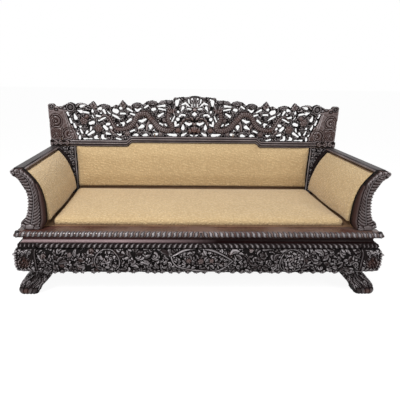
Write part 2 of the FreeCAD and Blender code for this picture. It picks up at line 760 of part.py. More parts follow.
def pad_wire(inset, y):
    """The back pad's outline, stepped along the top and drawn in along its long sides."""
    half = back_opening_half - soft_gap - inset
    low = platform_top + back_pad_bottom + inset
    high = moulding_bottom - soft_gap - inset
    middle_high = high + moulding_step
    start = moulding_step_start - soft_gap - inset
    end = moulding_step_end - soft_gap - inset
    middle = (start + end) / 2
    bend = (start - end) / 4
    rise = moulding_step / 8
    halfway = (high + middle_high) / 2
    level = (low + high) / 2
    path = [(-half, low), ((0.0, low + back_pad_waisting), (half, low)),
            ((half - back_pad_waisting, level), (half, high)), (start, high),
            ((middle + bend, high + rise), (middle, halfway)),
            ((middle - bend, middle_high - rise), (end, middle_high)), (-end, middle_high),
            ((bend - middle, middle_high - rise), (-middle, halfway)),
            ((-middle - bend, high + rise), (-start, high)), (-half, high),
            ((back_pad_waisting - half, level), (-half, low))]
    return outline(path, "xz", y)


def back_cushion():
    rear = rebate_front - soft_gap
    front = back_foot - back_pad_proud
    r = back_pad_round
    wires = [pad_wire(0.0, rear), pad_wire(0.0, front + r), pad_wire(r * 0.1, front + r * 0.55),
             pad_wire(r * 0.3, front + r * 0.3), pad_wire(r * 0.6, front + r * 0.1), pad_wire(r, front)]
    for share in back_pad_crown_shares:
        crown = back_pad_crown * math.sin(share * math.pi / 2)
        wires.append(pad_wire(r + back_pad_slope * share, front - crown))
    return Part.makeLoft(wires, True, True)


parts["back_cushion"] = leaned(back_cushion())

# The crest: a pierced board between two solid ends, standing on the moulding
crest_base = moulding_top
crest_front = back_foot + crest_setback


def crest_point(share):
    return (share[0] * back_half_length, crest_base + share[1] * crest_rise)


def crest_head():
    """Where the pierced board's outline meets the solid end."""
    top = crest_point(crest_last_lobe_share)[1]
    return (crest_end_head, top - crest_last_drop)


def crest_top_line():
    """The lobes and leaves from the middle to the right end of the pierced board."""
    steps = []
    for share in crest_lobe_shares:
        if isinstance(share[0], tuple):
            steps.append((crest_point(share[0]), crest_point(share[1])))
        else:
            steps.append(crest_point(share))
    return steps


def mirrored_steps(start, steps):
    """The same steps walked backwards on the left side, ending at the start's mirror."""
    points = [start] + [step[1] if isinstance(step[0], tuple) else step for step in steps]
    walked = []
    for number in range(len(steps) - 1, -1, -1):
        target = (-points[number][0], points[number][1])
        step = steps[number]
        if isinstance(step[0], tuple):
            walked.append(((-step[0][0], step[0][1]), target))
        else:
            walked.append(target)
    return walked


def crest_panel():
    lobes = crest_top_line()
    first_notch = lobes[0][1]
    right = lobes[1:] + [(crest_point(crest_last_lobe_share), crest_head())]
    head = crest_head()
    left_start = (-first_notch[0], first_notch[1])
    base = both_halves(stepped(crest_base, crest_base + moulding_step, crest_end_foot))
    back = mirrored_steps(first_notch, right)
    path = [left_start, (lobes[0][0], first_notch)] + right + base + [(-head[0], head[1])] + back
    return prism(path, "xz", crest_front, crest_front + crest_thickness)


def crest_openings():
    cuts = []
    y = crest_front - overrun / 2
    depth = crest_thickness + overrun
    for along, up, length, width, angle in crest_hole_shares:
        x, z = crest_point((along, up))
        for sign in (-1, 1):
            cuts.append(oval(sign * x, z, length * hole_length, width * hole_width, -sign * angle, y,
                             depth))
    for up, length, width in crest_middle_hole_shares:
        x, z = crest_point((0.0, up))
        cuts.append(oval(x, z, length * hole_length, width * hole_width, 0.0, y, depth))
    return cuts


def crest_end():
    low, peak, corner = [crest_point(share) for share in crest_end_lobe_shares]
    path = [(crest_end_foot, crest_base), (back_half_length, crest_base), corner, peak, low,
            crest_head()]
    return prism(path, "xz", crest_front, crest_front + crest_thickness)


# Dowels that hold the crest on the moulding and the moulding on the posts
dowel_spots = [(place, crest_base + step) for place, step in
               ((0.0, moulding_step), (muntin_place, moulding_step),
                ((moulding_step_start + crest_end_foot) / 2, 0.0),
                ((crest_end_foot + back_half_length) / 2, 0.0))]
dowel_spots += [(post_tenon_x - back_post_tenon_width / 2, moulding_bottom),
                (post_tenon_x + back_post_tenon_width / 2, moulding_bottom)]
dowels = []
dowel_holes = []
dowel_y = crest_front + crest_thickness / 2
for x, z in dowel_spots:
    for sign in (-1, 1):
        if x == 0 and sign < 0:
            continue
        foot = V(sign * x, dowel_y, z - dowel_length / 2)
        dowels.append(Part.makeCylinder(dowel_radius, dowel_length, foot))
        dowel_holes.append(Part.makeCylinder(dowel_radius + mortise_play,
                                             dowel_length + 2 * mortise_play,
                                             foot - V(0, 0, mortise_play)))
dowel_room = Part.makeCompound([leaned(hole) for hole in dowel_holes])

panel = crest_panel().cut(Part.makeCompound(crest_openings()))
panel = max(panel.Solids, key=lambda solid: solid.Volume)
end = crest_end()
parts["crest_panel"] = leaned(panel).cut(dowel_room)
parts["crest_end_right"] = leaned(end).cut(dowel_room)
parts["crest_end_left"] = leaned(mirrored(end)).cut(dowel_room)
parts["back_top_rail"] = leaned(top_rail).cut(dowel_room)
parts["back_post_right"] = parts["back_post_right"].cut(dowel_room)
parts["back_post_left"] = parts["back_post_left"].cut(dowel_room)


# Arms, drawn on the right
def arm_point(share):
    return (arm_inner + share[0] * arm_span, platform_top + share[1] * arm_height)


def arm_points(shares, shift=0.0):
    return [(x + shift, z) for x, z in [arm_point(share) for share in shares]]


def facing_path():
    inner = arm_points(facing_inner_shares)
    top = arm_points(facing_top_shares)
    roll = arm_points(facing_roll_shares)
    outer = arm_points(facing_outer_shares)
    foot = arm_points(facing_foot_shares)
    return [inner[0], inner[1:], top[0], top[1], (roll[0], roll[1]), outer, (foot[0], foot[1]),
            foot[2]]


behind_back = leaned(box(-half_length, half_length, back_foot, back_foot + half_depth,
                         platform_top - overrun, platform_top + arm_height * 2))
facing = prism(facing_path(), "xz", arm_front, arm_back_of_facing)

rail_inner = arm_rail_inner
rail_outer = arm_rail_inner + arm_rail_width
rail_top = arm_top - arm_rail_round / 4
rail_low = rail_top - arm_rail_height
r = arm_rail_round
rail_path = [(rail_inner, rail_low), (rail_inner, rail_top - r / 2), (rail_inner + r / 2, rail_top),
             (rail_outer - r, rail_top),
             (arc_middle(rail_outer - r, rail_top - r, r, 0), (rail_outer - r, rail_top - 2 * r))]
arm_rail = prism(rail_path, "xz", arm_back_of_facing, back_foot + overrun).cut(behind_back)

stile_end = (rail_inner - arm_stile_inset, rail_low)
inner = arm_points(facing_inner_shares[:-1], arm_stile_inset)
outer = arm_points(facing_outer_shares[1:], -arm_stile_inset)
stile_path = [inner[0], inner[1:], stile_end, (outer[0][0] + arm_stile_inset * 3, rail_low), outer[0],
              outer[1:], (outer[-1][0], platform_top)]
arm_stile = prism(stile_path, "xz", arm_stile_front, back_foot + overrun).cut(behind_back)

bottom_rail_x = arm_bottom_rail_inner + arm_bottom_rail_width
arm_bottom = box(arm_bottom_rail_inner, bottom_rail_x, arm_back_of_facing, arm_stile_front,
                 platform_top, platform_top + arm_bottom_rail_height)


def curved_board(shares, thickness, top):
    """A bent board whose outer face follows the shares, level at its foot and head."""
    face_points = arm_points(shares)
    back_points = [(x - thickness, z) for x, z in face_points][::-1]
    path = [face_points[0], face_points[1:], back_points[0], back_points[1:]]
    return prism(path, "xz", arm_back_of_facing, arm_stile_front).cut(
        box(arm_inner, half_length + overrun, arm_front, back_foot, top, top + overrun * 2))


arm_board = curved_board(board_outer_shares, arm_board_thickness, rail_low)


def pad_points(inward, shrink):
    """The pad's seat face, moved outwards, with its foot and head drawn in."""
    foot = platform_top + arm_pad_bottom + shrink
    head = rail_low - soft_gap * 3 - shrink
    return [(arm_inner - side_gap + share[0] * arm_span + inward, foot + share[1] * (head - foot))
            for share in pad_inner_shares]


def two_arcs(points):
    return [points[0], (points[1], points[2]), (points[3], points[4])]


def pad_section(y, shrink):
    face = pad_points(shrink, shrink)
    rear = pad_points(arm_pad_thickness - shrink, shrink)[::-1]
    return outline(two_arcs(face) + two_arcs(rear), "xz", y)


def arm_cushion():
    front = arm_back_of_facing + soft_gap
    rear = arm_stile_front - soft_gap
    r = arm_pad_round
    rows = [(front, r * 0.5), (front + r, r * 0.1), (front + r * 4, arm_pad_waisting),
            ((front + rear) / 2, 0.0), (rear - r * 4, arm_pad_waisting), (rear - r, r * 0.1),
            (rear, r * 0.5)]
    return Part.makeLoft([pad_section(y, shrink) for y, shrink in rows], True, True)


def arm_liner():
    """The board behind the pad, on the bottom rail and under the top rail."""
    gap = soft_gap * 2
    face = pad_points(arm_pad_thickness + gap, 0.0)
    rear = pad_points(arm_pad_thickness + gap + liner_thickness, 0.0)[::-1]
    foot = platform_top + arm_bottom_rail_height
    path = [(face[0][0], foot)] + two_arcs(face) + two_arcs(rear) + [(rear[-1][0], foot)]
    return prism(path, "xz", arm_back_of_facing, arm_stile_front)


arm_pieces = {"arm_facing": facing, "arm_top_rail": arm_rail, "arm_stile": arm_stile,
              "arm_bottom_rail": arm_bottom, "arm_outer_board": arm_board,
              "arm_liner": arm_liner(), "arm_cushion": arm_cushion()}
arm_dowel_y = arm_back_of_facing - dowel_length / 2
arm_dowel_x = (rail_inner + rail_outer - arm_rail_round * 2) / 2
arm_dowel = Part.makeCylinder(dowel_radius, dowel_length, V(arm_dowel_x, arm_dowel_y,
                                                            rail_low + arm_rail_height / 2), V(0, 1, 0))
arm_dowel_hole = Part.makeCylinder(dowel_radius + mortise_play, dowel_length + 2 * mortise_play,
                                   V(arm_dowel_x, arm_dowel_y - mortise_play,
                                     rail_low + arm_rail_height / 2), V(0, 1, 0))
arm_pieces["arm_facing"] = facing.cut(arm_dowel_hole)
arm_pieces["arm_top_rail"] = arm_rail.cut(arm_dowel_hole)
for name, shape in arm_pieces.items():
    parts[name + "_right"] = shape
    parts[name + "_left"] = mirrored(shape)
parts["joint_dowels"] = Part.makeCompound([leaned(dowel) for dowel in dowels]
                                          + [arm_dowel, mirrored(arm_dowel)])

# Mortises in the platform's rails
post_mortise = post_tenon(mortise_play)
rail_cuts = key_slots + leg_mortises + [bearer(x, mortise_play) for x in bearer_places]
rail_cuts += [post_mortise, mirrored(post_mortise)]
for side in sides:
    parts["platform_rail_" + side] = rails[side].cut(Part.makeCompound(rail_cuts))

for name, shape in parts.items():
    shape.exportStep(os.path.join("parts", name + ".step"))
    print("%-22s %d %s %.0f" % (name, len(shape.Solids), shape.isValid(), shape.Volume / 1000))
whole = Part.makeCompound(list(parts.values())).BoundBox
print("size", round(whole.XLength), round(whole.YLength), round(whole.ZLength), "low", round(whole.ZMin))
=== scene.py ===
import math
import random

import bmesh
import bpy
import numpy as np
from mathutils import Matrix, Vector


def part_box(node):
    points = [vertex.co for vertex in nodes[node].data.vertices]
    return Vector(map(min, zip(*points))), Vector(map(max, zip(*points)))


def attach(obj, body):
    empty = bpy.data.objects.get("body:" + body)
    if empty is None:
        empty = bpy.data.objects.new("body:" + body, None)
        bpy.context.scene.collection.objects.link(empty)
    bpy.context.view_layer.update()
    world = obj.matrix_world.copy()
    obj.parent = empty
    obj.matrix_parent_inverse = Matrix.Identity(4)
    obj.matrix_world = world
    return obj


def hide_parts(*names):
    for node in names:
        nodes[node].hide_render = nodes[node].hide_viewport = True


bl_info = {
    "name": "Luohan daybed",
    "version": (1, 0, 0),
    "blender": (4, 5, 0),
    "location": "3D View > Sidebar > Daybed",
    "description": "Carves, upholsters and finishes a luohan daybed around its measured frame",
    "category": "Object",
}

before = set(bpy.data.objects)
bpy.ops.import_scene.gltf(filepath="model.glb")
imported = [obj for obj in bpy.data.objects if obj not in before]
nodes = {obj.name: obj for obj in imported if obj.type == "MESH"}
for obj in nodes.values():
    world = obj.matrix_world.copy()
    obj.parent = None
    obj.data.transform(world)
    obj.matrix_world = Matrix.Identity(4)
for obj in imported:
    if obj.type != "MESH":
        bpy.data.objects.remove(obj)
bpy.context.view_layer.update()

CM = 0.01
SAME_POINT = 1e-5
# Painted shade on the walls of the openings and on the backs of the carved boards
PAINTED_SHADE_BEHIND = 0.15
# Where plain beads stand on the scale of painted shade and highlight: high, so they take some painted
# highlight
PLAIN_SHADE = 0.80

# The back leans about this line along the bed
LEAN_Y = 0.309
LEAN_Z = 0.411

# Half the length and half the depth of the platform's edge
EDGE_X = 1.035
EDGE_Y = 0.385

# The back's rail steps up in its middle: half the step's width, its slope's run and its rise
STEP_HALF = 0.480
STEP_RUN = 0.034
STEP_RISE = 0.028

# Cuts beside a carved motif: their usual depth, and their width
GROOVE_DEPTH = 0.006
GROOVE_WIDTH = 0.0045


# Sizes and colours that a user would change
def length(name, description, value):
    return bpy.props.FloatProperty(name=name, description=description, default=value, min=0.0,
                                   precision=4, unit="LENGTH", subtype="DISTANCE")


def paint(name, description, value):
    return bpy.props.FloatVectorProperty(name=name, description=description, default=value, size=3,
                                         min=0.0, max=1.0, subtype="COLOR")


class DaybedSizes(bpy.types.PropertyGroup):
    """Sizes of the carving and the upholstery"""
    crest_cell: length("Crest cell", "Spacing of the points on the pierced crest", 0.0027)
    carving_cell: length("Carving cell", "Spacing of the points on the aprons", 0.0028)
    small_cell: length("Small carving cell", "Spacing of the points on the arms and ends", 0.0024)
    crest_relief: length("Crest relief", "Height of the crest's main figures", 0.009)
    apron_relief: length("Apron relief", "Depth of the leafwork on the aprons", 0.011)
    gadroon_pitch: length("Gadroon pitch", "Distance between the gadroons on the edges", 0.030)
    cushion_cell: length("Cushion cell", "Voxel size that the cushions are remeshed with", 0.010)
    cushion_puff: length("Cushion puff", "How far a cushion may swell from its plain form", 0.007)
    back_lean: bpy.props.FloatProperty(name="Back lean", description="How far the back leans",
                                       default=math.radians(3.0), subtype="ANGLE")


class DaybedColours(bpy.types.PropertyGroup):
    """Colours of the wood and the cloth"""
    # Near-black painted shade at the bottom of the carving's cuts
    painted_cut_shade: paint("Deep wood", "Bottom of the carving", (0.004, 0.003, 0.003))
    wood_dark: paint("Dark wood", "Most of the carved wood", (0.016, 0.010, 0.010))
    # Grey of the crowns: partly rubbed wear, partly a painted highlight
    rubbed_wood_and_highlight: paint("Rubbed wood", "High parts that hands have rubbed", (0.340, 0.308, 0.318))
    wood_warm: paint("Warm wood", "Reddish parts of the figures", (0.105, 0.046, 0.034))
    polish: paint("Polished wood", "Rails and mouldings", (0.085, 0.034, 0.027))
    worn: paint("Worn polish", "Dusty or worn parts of the polished wood", (0.190, 0.130, 0.105))
    # A painted reflection: the pale streak along the waist's left half
    painted_reflection: paint("Faded waist", "Where light has faded the waist, towards the left",
                 (0.850, 0.640, 0.665))
    waist: paint("Waist wood", "Polished wood between platform and apron", (0.016, 0.005, 0.005))
    hardwood: paint("Plain hardwood", "Hidden frame pieces", (0.260, 0.150, 0.080))
    cloth: paint("Cloth", "Main colour of the cushions", (0.600, 0.440, 0.235))
    # Painted shade in the hollows of the cloth's embossed pattern
    cloth_shade: paint("Cloth shade", "Hollows of the cloth's pattern", (0.330, 0.215, 0.100))
    jute: paint("Jute", "Webbing under the seat", (0.360, 0.260, 0.140))


def sizes():
    return bpy.context.scene.daybed_sizes


def colours():
    return bpy.context.scene.daybed_colours


# Working on meshes
def points_of(mesh):
    flat = np.empty(len(mesh.vertices) * 3)
    mesh.vertices.foreach_get("co", flat)
    return flat.reshape(-1, 3)


def set_points(mesh, points):
    mesh.vertices.foreach_set("co", points.astype(np.float32).ravel())
    mesh.update()


def lean(points, sign=1.0):
    """Leans upright points back with the bed's back, or stands them up again."""
    angle = -sizes().back_lean * sign
    y = points[:, 1] - LEAN_Y
    z = points[:, 2] - LEAN_Z
    out = points.copy()
    out[:, 1] = LEAN_Y + y * math.cos(angle) - z * math.sin(angle)
    out[:, 2] = LEAN_Z + y * math.sin(angle) + z * math.cos(angle)
    return out


def stand_up(points):
    """Undoes the lean of the bed's back."""
    return lean(points, -1.0)


def as_drawn(points):
    return points


def rail_step(x):
    """How far the back's rail has stepped up at a place along the bed."""
    return STEP_RISE * np.clip((STEP_HALF - np.abs(x)) / STEP_RUN, 0, 1)


def bulge(share):
    """The height of a half-round, from 1 in its middle to 0 at its edge."""
    return np.sqrt(np.clip(1 - share ** 2, 0, 1))


def new_piece(name, mesh, stands_for=()):
    """A carved piece of the bed's fixed wood, which may stand for solids of the frame."""
    piece = bpy.data.objects.new(name, mesh)
    bpy.context.scene.collection.objects.link(piece)
    mesh.polygons.foreach_set("use_smooth", [True] * len(mesh.polygons))
    mesh.materials.append(material("carved"))
    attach(piece, "frame")
    if stands_for:
        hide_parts(*stands_for)


def keep_values(mesh, name, values):
    """Keeps one value a point for the materials to read."""
    layer = mesh.attributes.new(name, "FLOAT", "POINT")
    layer.data.foreach_set("value", np.asarray(values, np.float32))


def grid_mesh(columns, rows):
    """A flat grid and, for each of its points, the column and row that it stands in."""
    bm = bmesh.new()
    bmesh.ops.create_grid(bm, x_segments=columns, y_segments=rows, size=1.0)
    mesh = bpy.data.meshes.new("grid")
    bm.to_mesh(mesh)
    bm.free()
    flat = points_of(mesh)
    column = np.rint((flat[:, 0] + 1) / 2 * columns).astype(int)
    row = np.rint((flat[:, 1] + 1) / 2 * rows).astype(int)
    return mesh, column, row


def smooth_line(points, spacing=0.004, closed=False):
    """Points along a smooth line through the given ones."""
    given = np.array(points, float)
    if closed:
        given = np.vstack([given[-1], given, given[0], given[1]])
    else:
        given = np.vstack([2 * given[0] - given[1], given, 2 * given[-1] - given[-2]])
    line = []
    for a, b, c, d in zip(given[:-3], given[1:-2], given[2:-1], given[3:]):
        count = max(2, int(np.linalg.norm(c - b) / spacing))
        t = np.linspace(0, 1, count, endpoint=False)[:, None]
        line.append(0.5 * (2 * b + (c - a) * t + (2 * a - 5 * b + 4 * c - d) * t ** 2
                           + (3 * b - a - 3 * c + d) * t ** 3))
    return np.vstack(line + [given[-2][None, :]])


def run_lengths(line):
    """How far along a line each of its points lies."""
    return np.concatenate([[0], np.cumsum(np.linalg.norm(np.diff(line, axis=0), axis=1))])


def closed_up(bm):
    """Joins the seams of a rolled-up grid, closes its ends and turns its faces outwards."""
    bmesh.ops.remove_doubles(bm, verts=bm.verts[:], dist=SAME_POINT)
    bmesh.ops.holes_fill(bm, edges=[edge for edge in bm.edges if edge.is_boundary], sides=0)
    bmesh.ops.recalc_face_normals(bm, faces=bm.faces[:])


# Reading the outline of a board from its solid
def outline_edges(node, keep):
    """Edges round the faces that look to the front, as rows of two points."""
    mesh = nodes[node].data
    points = keep(points_of(mesh))
    mesh.calc_loop_triangles()
    corners = np.empty(len(mesh.loop_triangles) * 3, int)
    mesh.loop_triangles.foreach_get("vertices", corners)
    corners = corners.reshape(-1, 3)
    a, b, c = (points[corners[:, k]] for k in range(3))
    normal = np.cross(b - a, c - a)
    size = np.linalg.norm(normal, axis=1)
    size[size == 0] = 1
    facing = normal[:, 1] / size < -0.9
    keys = np.rint(points * 1e5).astype(int)
    names, index = np.unique(keys, axis=0, return_inverse=True)
    index = index.ravel()
    seen = {}
    for triangle in corners[facing]:
        p, q, r = index[triangle]
        for one, other in ((p, q), (q, r), (r, p)):
            if one != other:
                pair = (min(one, other), max(one, other))
                seen[pair] = seen.get(pair, 0) + 1
    rim = np.array([pair for pair, count in seen.items() if count == 1])
    spots = names[:, [0, 2]] / 1e5
    return np.hstack([spots[rim[:, 0]], spots[rim[:, 1]]])


class Carving:
    """A sheet of heights in metres over a flat board. Motifs rise from base; ground is the
    deepest cut, groove the usual cut beside a motif, and wood is how far inside the board's
    outline a point lies."""

    def __init__(self, low, high, cell, ground, base, groove=GROOVE_DEPTH):
        self.low = low
        self.columns = max(2, round((high[0] - low[0]) / cell))
        self.rows = max(2, round((high[1] - low[1]) / cell))
        self.cell = cell
        xs = np.linspace(low[0], high[0], self.columns + 1)
        zs = np.linspace(low[1], high[1], self.rows + 1)
        self.step = (xs[1] - xs[0], zs[1] - zs[0])
        self.x, self.z = np.meshgrid(xs, zs)
        self.ground = ground
        self.base = base
        self.groove = groove
        self.height = np.full(self.x.shape, ground)
        self.wood = np.full(self.x.shape, 1.0)
        self.warm = np.zeros(self.x.shape)

    def window(self, low, high):
        """The rows and columns of the points between two corners."""
        c0 = max(0, int((low[0] - self.low[0]) / self.step[0]))
        c1 = min(self.columns + 1, int((high[0] - self.low[0]) / self.step[0]) + 2)
        r0 = max(0, int((low[1] - self.low[1]) / self.step[1]))
        r1 = min(self.rows + 1, int((high[1] - self.low[1]) / self.step[1]) + 2)
        return (slice(r0, max(r0, r1)), slice(c0, max(c0, c1)))

    def trim(self, edges, reach=0.03):
        """Keeps the wood inside the edges of a solid's front."""
        near = np.full(self.x.shape, reach)
        crossings = np.zeros(self.x.shape, int)
        for x1, z1, x2, z2 in edges:
            part = self.window((min(x1, x2) - reach, min(z1, z2) - reach),
                               (max(x1, x2) + reach, max(z1, z2) + reach))
            near[part] = np.minimum(near[part], distance(self.x[part], self.z[part],
                                                         (x1, z1), (x2, z2))[0])
            if z1 != z2:
                rows = np.nonzero((self.z[:, 0] >= min(z1, z2)) & (self.z[:, 0] < max(z1, z2)))[0]
                across = x1 + (self.z[rows, 0] - z1) * (x2 - x1) / (z2 - z1)
                places = np.ceil((across - self.low[0]) / self.step[0]).astype(int)
                good = (places >= 0) & (places <= self.columns)
                crossings[rows[good], places[good]] += 1
                crossings[rows[places < 0], 0] += 1
        inside = np.cumsum(crossings, axis=1) % 2 == 1
        self.wood = np.where(inside, near, -near)

    def pierce(self, ends, slant=(0.0, 0.0), floor=None):
        """Cuts an opening through round ends (x, z, radius) joined by tapering runs. slant
        widens it to the side that a view from the front loses in the board's thickness."""
        ends = list(ends) if len(ends) > 1 else [ends[0], ends[0]]
        for share in (0.0, 0.5, 1.0):
            for start, end in zip(ends[:-1], ends[1:]):
                p = (start[0] + slant[0] * share, start[1] + slant[1] * share)
                q = (end[0] + slant[0] * share, end[1] + slant[1] * share)
                reach = max(start[2], end[2]) + 0.012
                part = self.window((min(p[0], q[0]) - reach, min(p[1], q[1]) - reach),
                                   (max(p[0], q[0]) + reach, max(p[1], q[1]) + reach))
                away, along, _ = distance(self.x[part], self.z[part], p, q)
                edge = away - (start[2] + (end[2] - start[2]) * along)
                if floor is not None:
                    edge = np.maximum(edge, floor[part] - self.z[part])
                self.wood[part] = np.minimum(self.wood[part], edge)

    def roughen(self, seed, amount, times=2):
        """Makes the openings' outlines a little uneven, as knife work is."""
        noise = soften(np.random.default_rng(seed).normal(size=self.x.shape), times)
        self.wood = self.wood + amount * noise / noise.std()

    def press(self, part, rise, edge, grow=False, warm=None, groove=None):
        """Sets the sheet to rise where edge, the distance inside a motif, is above zero, with a
        cut round it. grow adds wood under the motif, and warm reddens it."""
        groove = self.groove if groove is None else groove
        height = self.height[part]
        inside = edge > 0
        if groove:
            ring = (edge <= 0) & (edge > -GROOVE_WIDTH)
            cut = groove * (1 + edge[ring] / GROOVE_WIDTH)
            height[ring] = np.maximum(height[ring] - cut, self.ground)
        height[inside] = rise[inside]
        if grow:
            self.wood[part] = np.maximum(self.wood[part], edge)
        if warm is not None:
            self.warm[part][inside] = warm

    def strand(self, points, widths, rise, pattern=None, closed=False, stand=0.0, tilt=0.0, **press):
        """A rounded strand along a smooth line. widths are given at even shares of its length,
        stand is the share of its rise that its edges already have, tilt leans it sideways."""
        line = smooth_line(points, closed=closed)
        widths = np.atleast_1d(np.array(widths, float))
        reach = widths.max() + GROOVE_WIDTH
        part = self.window(line.min(0) - reach, line.max(0) + reach)
        x, z = self.x[part], self.z[part]
        if not x.size:
            return
        edge = np.full(x.shape, -1.0)
        across = np.zeros(x.shape)
        along = np.zeros(x.shape)
        width = np.full(x.shape, widths.max())
        lengths = run_lengths(line)
        stops = np.linspace(0, 1, len(widths))
        whole = lengths[-1]
        offset = (part[0].start, part[1].start)
        for p, q, start, end in zip(line[:-1], line[1:], lengths[:-1], lengths[1:]):
            inner = self.window(np.minimum(p, q) - reach, np.maximum(p, q) + reach)
            inner = tuple(slice(max(0, s.start - o), max(0, s.stop - o)) for s, o in zip(inner, offset))
            xi, zi = x[inner], z[inner]
            if not xi.size:
                continue
            away, share, side = distance(xi, zi, p, q)
            here = start + (end - start) * share
            wide = np.interp(here / whole, stops, widths) if len(widths) > 1 else widths[0]
            gain = wide - away
            better = gain > edge[inner]
            edge[inner] = np.where(better, gain, edge[inner])
            across[inner] = np.where(better, side, across[inner])
            along[inner] = np.where(better, here, along[inner])
            width[inner] = np.where(better, wide, width[inner])
        off = np.clip(np.abs(across) / np.maximum(width, 1e-6), 0, 1)
        level = rise * (stand + (1 - stand) * bulge(off))
        level = level + rise * tilt * across / np.maximum(width, 1e-6)
        if pattern:
            level = level + pattern(along, across, off)
        self.press(part, self.base + level, edge, **press)

    def leaf(self, x, z, angle, long, wide, rise, bend=0.25, **press):
        """A pointed leaf with a midrib and veins; bend curls its tip to one side."""
        turn = math.radians(angle)
        reach = np.array([math.cos(turn), math.sin(turn)])
        side = np.array([-reach[1], reach[0]])
        foot = np.array([x, z])
        middle = foot + reach * long * 0.5 + side * long * bend * 0.35
        tip = foot + reach * long * 0.92 + side * long * bend * -0.25
        self.strand([foot, middle, tip], np.array([0.25, 0.85, 1.0, 0.85, 0.5, 0.08]) * wide, rise,
                    pattern=lambda s, v, off: veins(s, v, off, wide, rise), stand=0.35, **press)

    def spray(self, x, z, angle, size, rise, pick, fan=(-50, 50, 0), **press):
        """A few leaves that open out from one foot."""
        for turn in fan:
            self.leaf(x, z, angle + turn, size * (1.0 if turn == 0 else 0.82), size * 0.21,
                      rise * pick.uniform(0.6, 1.0), bend=0.3 if turn >= 0 else -0.3,
                      tilt=pick.choice((-1, 1)) * pick.uniform(0.25, 0.75), **press)

    def dome(self, x, z, across, up, rise, **press):
        """An oval boss."""
        part = self.window((x - across - GROOVE_WIDTH, z - up - GROOVE_WIDTH),
                           (x + across + GROOVE_WIDTH, z + up + GROOVE_WIDTH))
        away = np.hypot((self.x[part] - x) / across, (self.z[part] - z) / up)
        self.press(part, self.base + rise * bulge(away), (1 - away) * min(across, up), **press)

    def ring(self, x, z, radius, wide, rise, **press):
        """A round band."""
        turn = np.linspace(0, 2 * math.pi, 25)[:-1]
        self.strand(np.stack([x + radius * np.cos(turn), z + radius * np.sin(turn)], 1), wide, rise,
                    closed=True, **press)

    def flower(self, x, z, radius, petals, rise, turn=0.0, **press):
        """Two rings of cupped petals round a seeded boss."""
        reach = radius + GROOVE_WIDTH
        part = self.window((x - reach, z - reach), (x + reach, z + reach))
        dx, dz = self.x[part] - x, self.z[part] - z
        away = np.hypot(dx, dz)
        angle = np.arctan2(dz, dx) + turn
        crest = np.abs(np.cos(angle * petals / 2))
        between = np.abs(np.sin(angle * petals / 2))
        outer = radius * (0.78 + 0.22 * crest ** 0.7)
        inner = radius * 0.62 * (0.80 + 0.20 * between ** 0.7)
        share = np.clip(away / outer, 0, 1)
        level = rise * (0.05 + 0.70 * share ** 1.5) * (0.15 + 0.85 * crest ** 0.6)
        share = np.clip(away / inner, 0, 1)
        upper = rise * (0.30 + 0.75 * share ** 1.5) * (0.30 + 0.70 * between ** 0.6)
        level = np.where(away < inner, upper, level)
        level = np.where(away < radius * 0.24, rise * 0.95, level)
        self.press(part, self.base + level, outer - away, **press)

    def spiral(self, x, z, radius, turns, start, wide, rise, hand=1, **press):
        """A scroll that winds in to a bead."""
        t = np.linspace(0, 1, int(10 * turns) + 4)
        turn = math.radians(start) + hand * t * turns * 2 * math.pi
        away = radius * (1 - 0.86 * t) - wide * 0.5 * (1 - t)
        self.strand(np.stack([x + away * np.cos(turn), z + away * np.sin(turn)], 1),
                    [wide, wide, wide * 0.8, wide * 0.6], rise, **press)
        self.dome(x, z, wide * 0.95, wide * 0.95, rise * 1.1, **press)

    def tint(self, x, z, across, up, value):
        """Reddens an oval patch of the wood."""
        away = np.hypot((self.x - x) / across, (self.z - z) / up)
        self.warm = np.where(away < 1, np.maximum(self.warm, value * (1 - away ** 2)), self.warm)

    def round_off(self, width):
        """Lets the surface fall away to the ground within a width of every edge."""
        drop = bulge(1 - np.clip(self.wood / width, 0, 1))
        self.height = self.ground + (self.height - self.ground) * drop

    def double(self):
        """Copies the right half of the drawing onto the left half."""
        for sheet in (self.height, self.wood, self.warm):
            sheet[:, : self.columns // 2 + 1] = sheet[:, ::-1][:, : self.columns // 2 + 1]

    def mirrored(self):
        """The same drawing for the other end of the bed."""
        other = Carving((-self.x[0, -1], self.low[1]), (-self.low[0], self.z[-1, 0]), self.cell,
                        self.ground, self.base, self.groove)
        for name in ("height", "wood", "warm"):
            setattr(other, name, getattr(self, name)[:, ::-1].copy())
        return other


def distance(x, z, p, q):
    """Distance from points to the run p to q, the share along it and the signed offset."""
    run = (q[0] - p[0], q[1] - p[1])
    size = math.hypot(*run) or 1e-9
    share = np.clip(((x - p[0]) * run[0] + (z - p[1]) * run[1]) / size ** 2, 0, 1)
    away = np.hypot(x - p[0] - run[0] * share, z - p[1] - run[1] * share)
    side = ((z - p[1]) * run[0] - (x - p[0]) * run[1]) / size
    return away, share, np.sign(side) * away


def veins(s, v, off, wide, rise):
    """A deep midrib and slanting side veins."""
    rib = rise * 0.38 * np.exp(-(v / (wide * 0.20)) ** 2)
    ribs = rise * 0.15 * np.cos((s * 1.1 - np.abs(v)) * 2 * math.pi / (wide * 0.8))
    return ribs * np.clip(1.4 - off, 0, 1) - rib


def soften(sheet, times):
    """Averages a sheet of heights with its neighbours, again and again."""
    out = sheet.copy()
    for _ in range(times):
        wide = np.pad(out, 1, mode="edge")
        out = (wide[1:-1, 1:-1] * 2 + wide[:-2, 1:-1] + wide[2:, 1:-1] + wide[1:-1, :-2]
               + wide[1:-1, 2:]) / 6
    return out


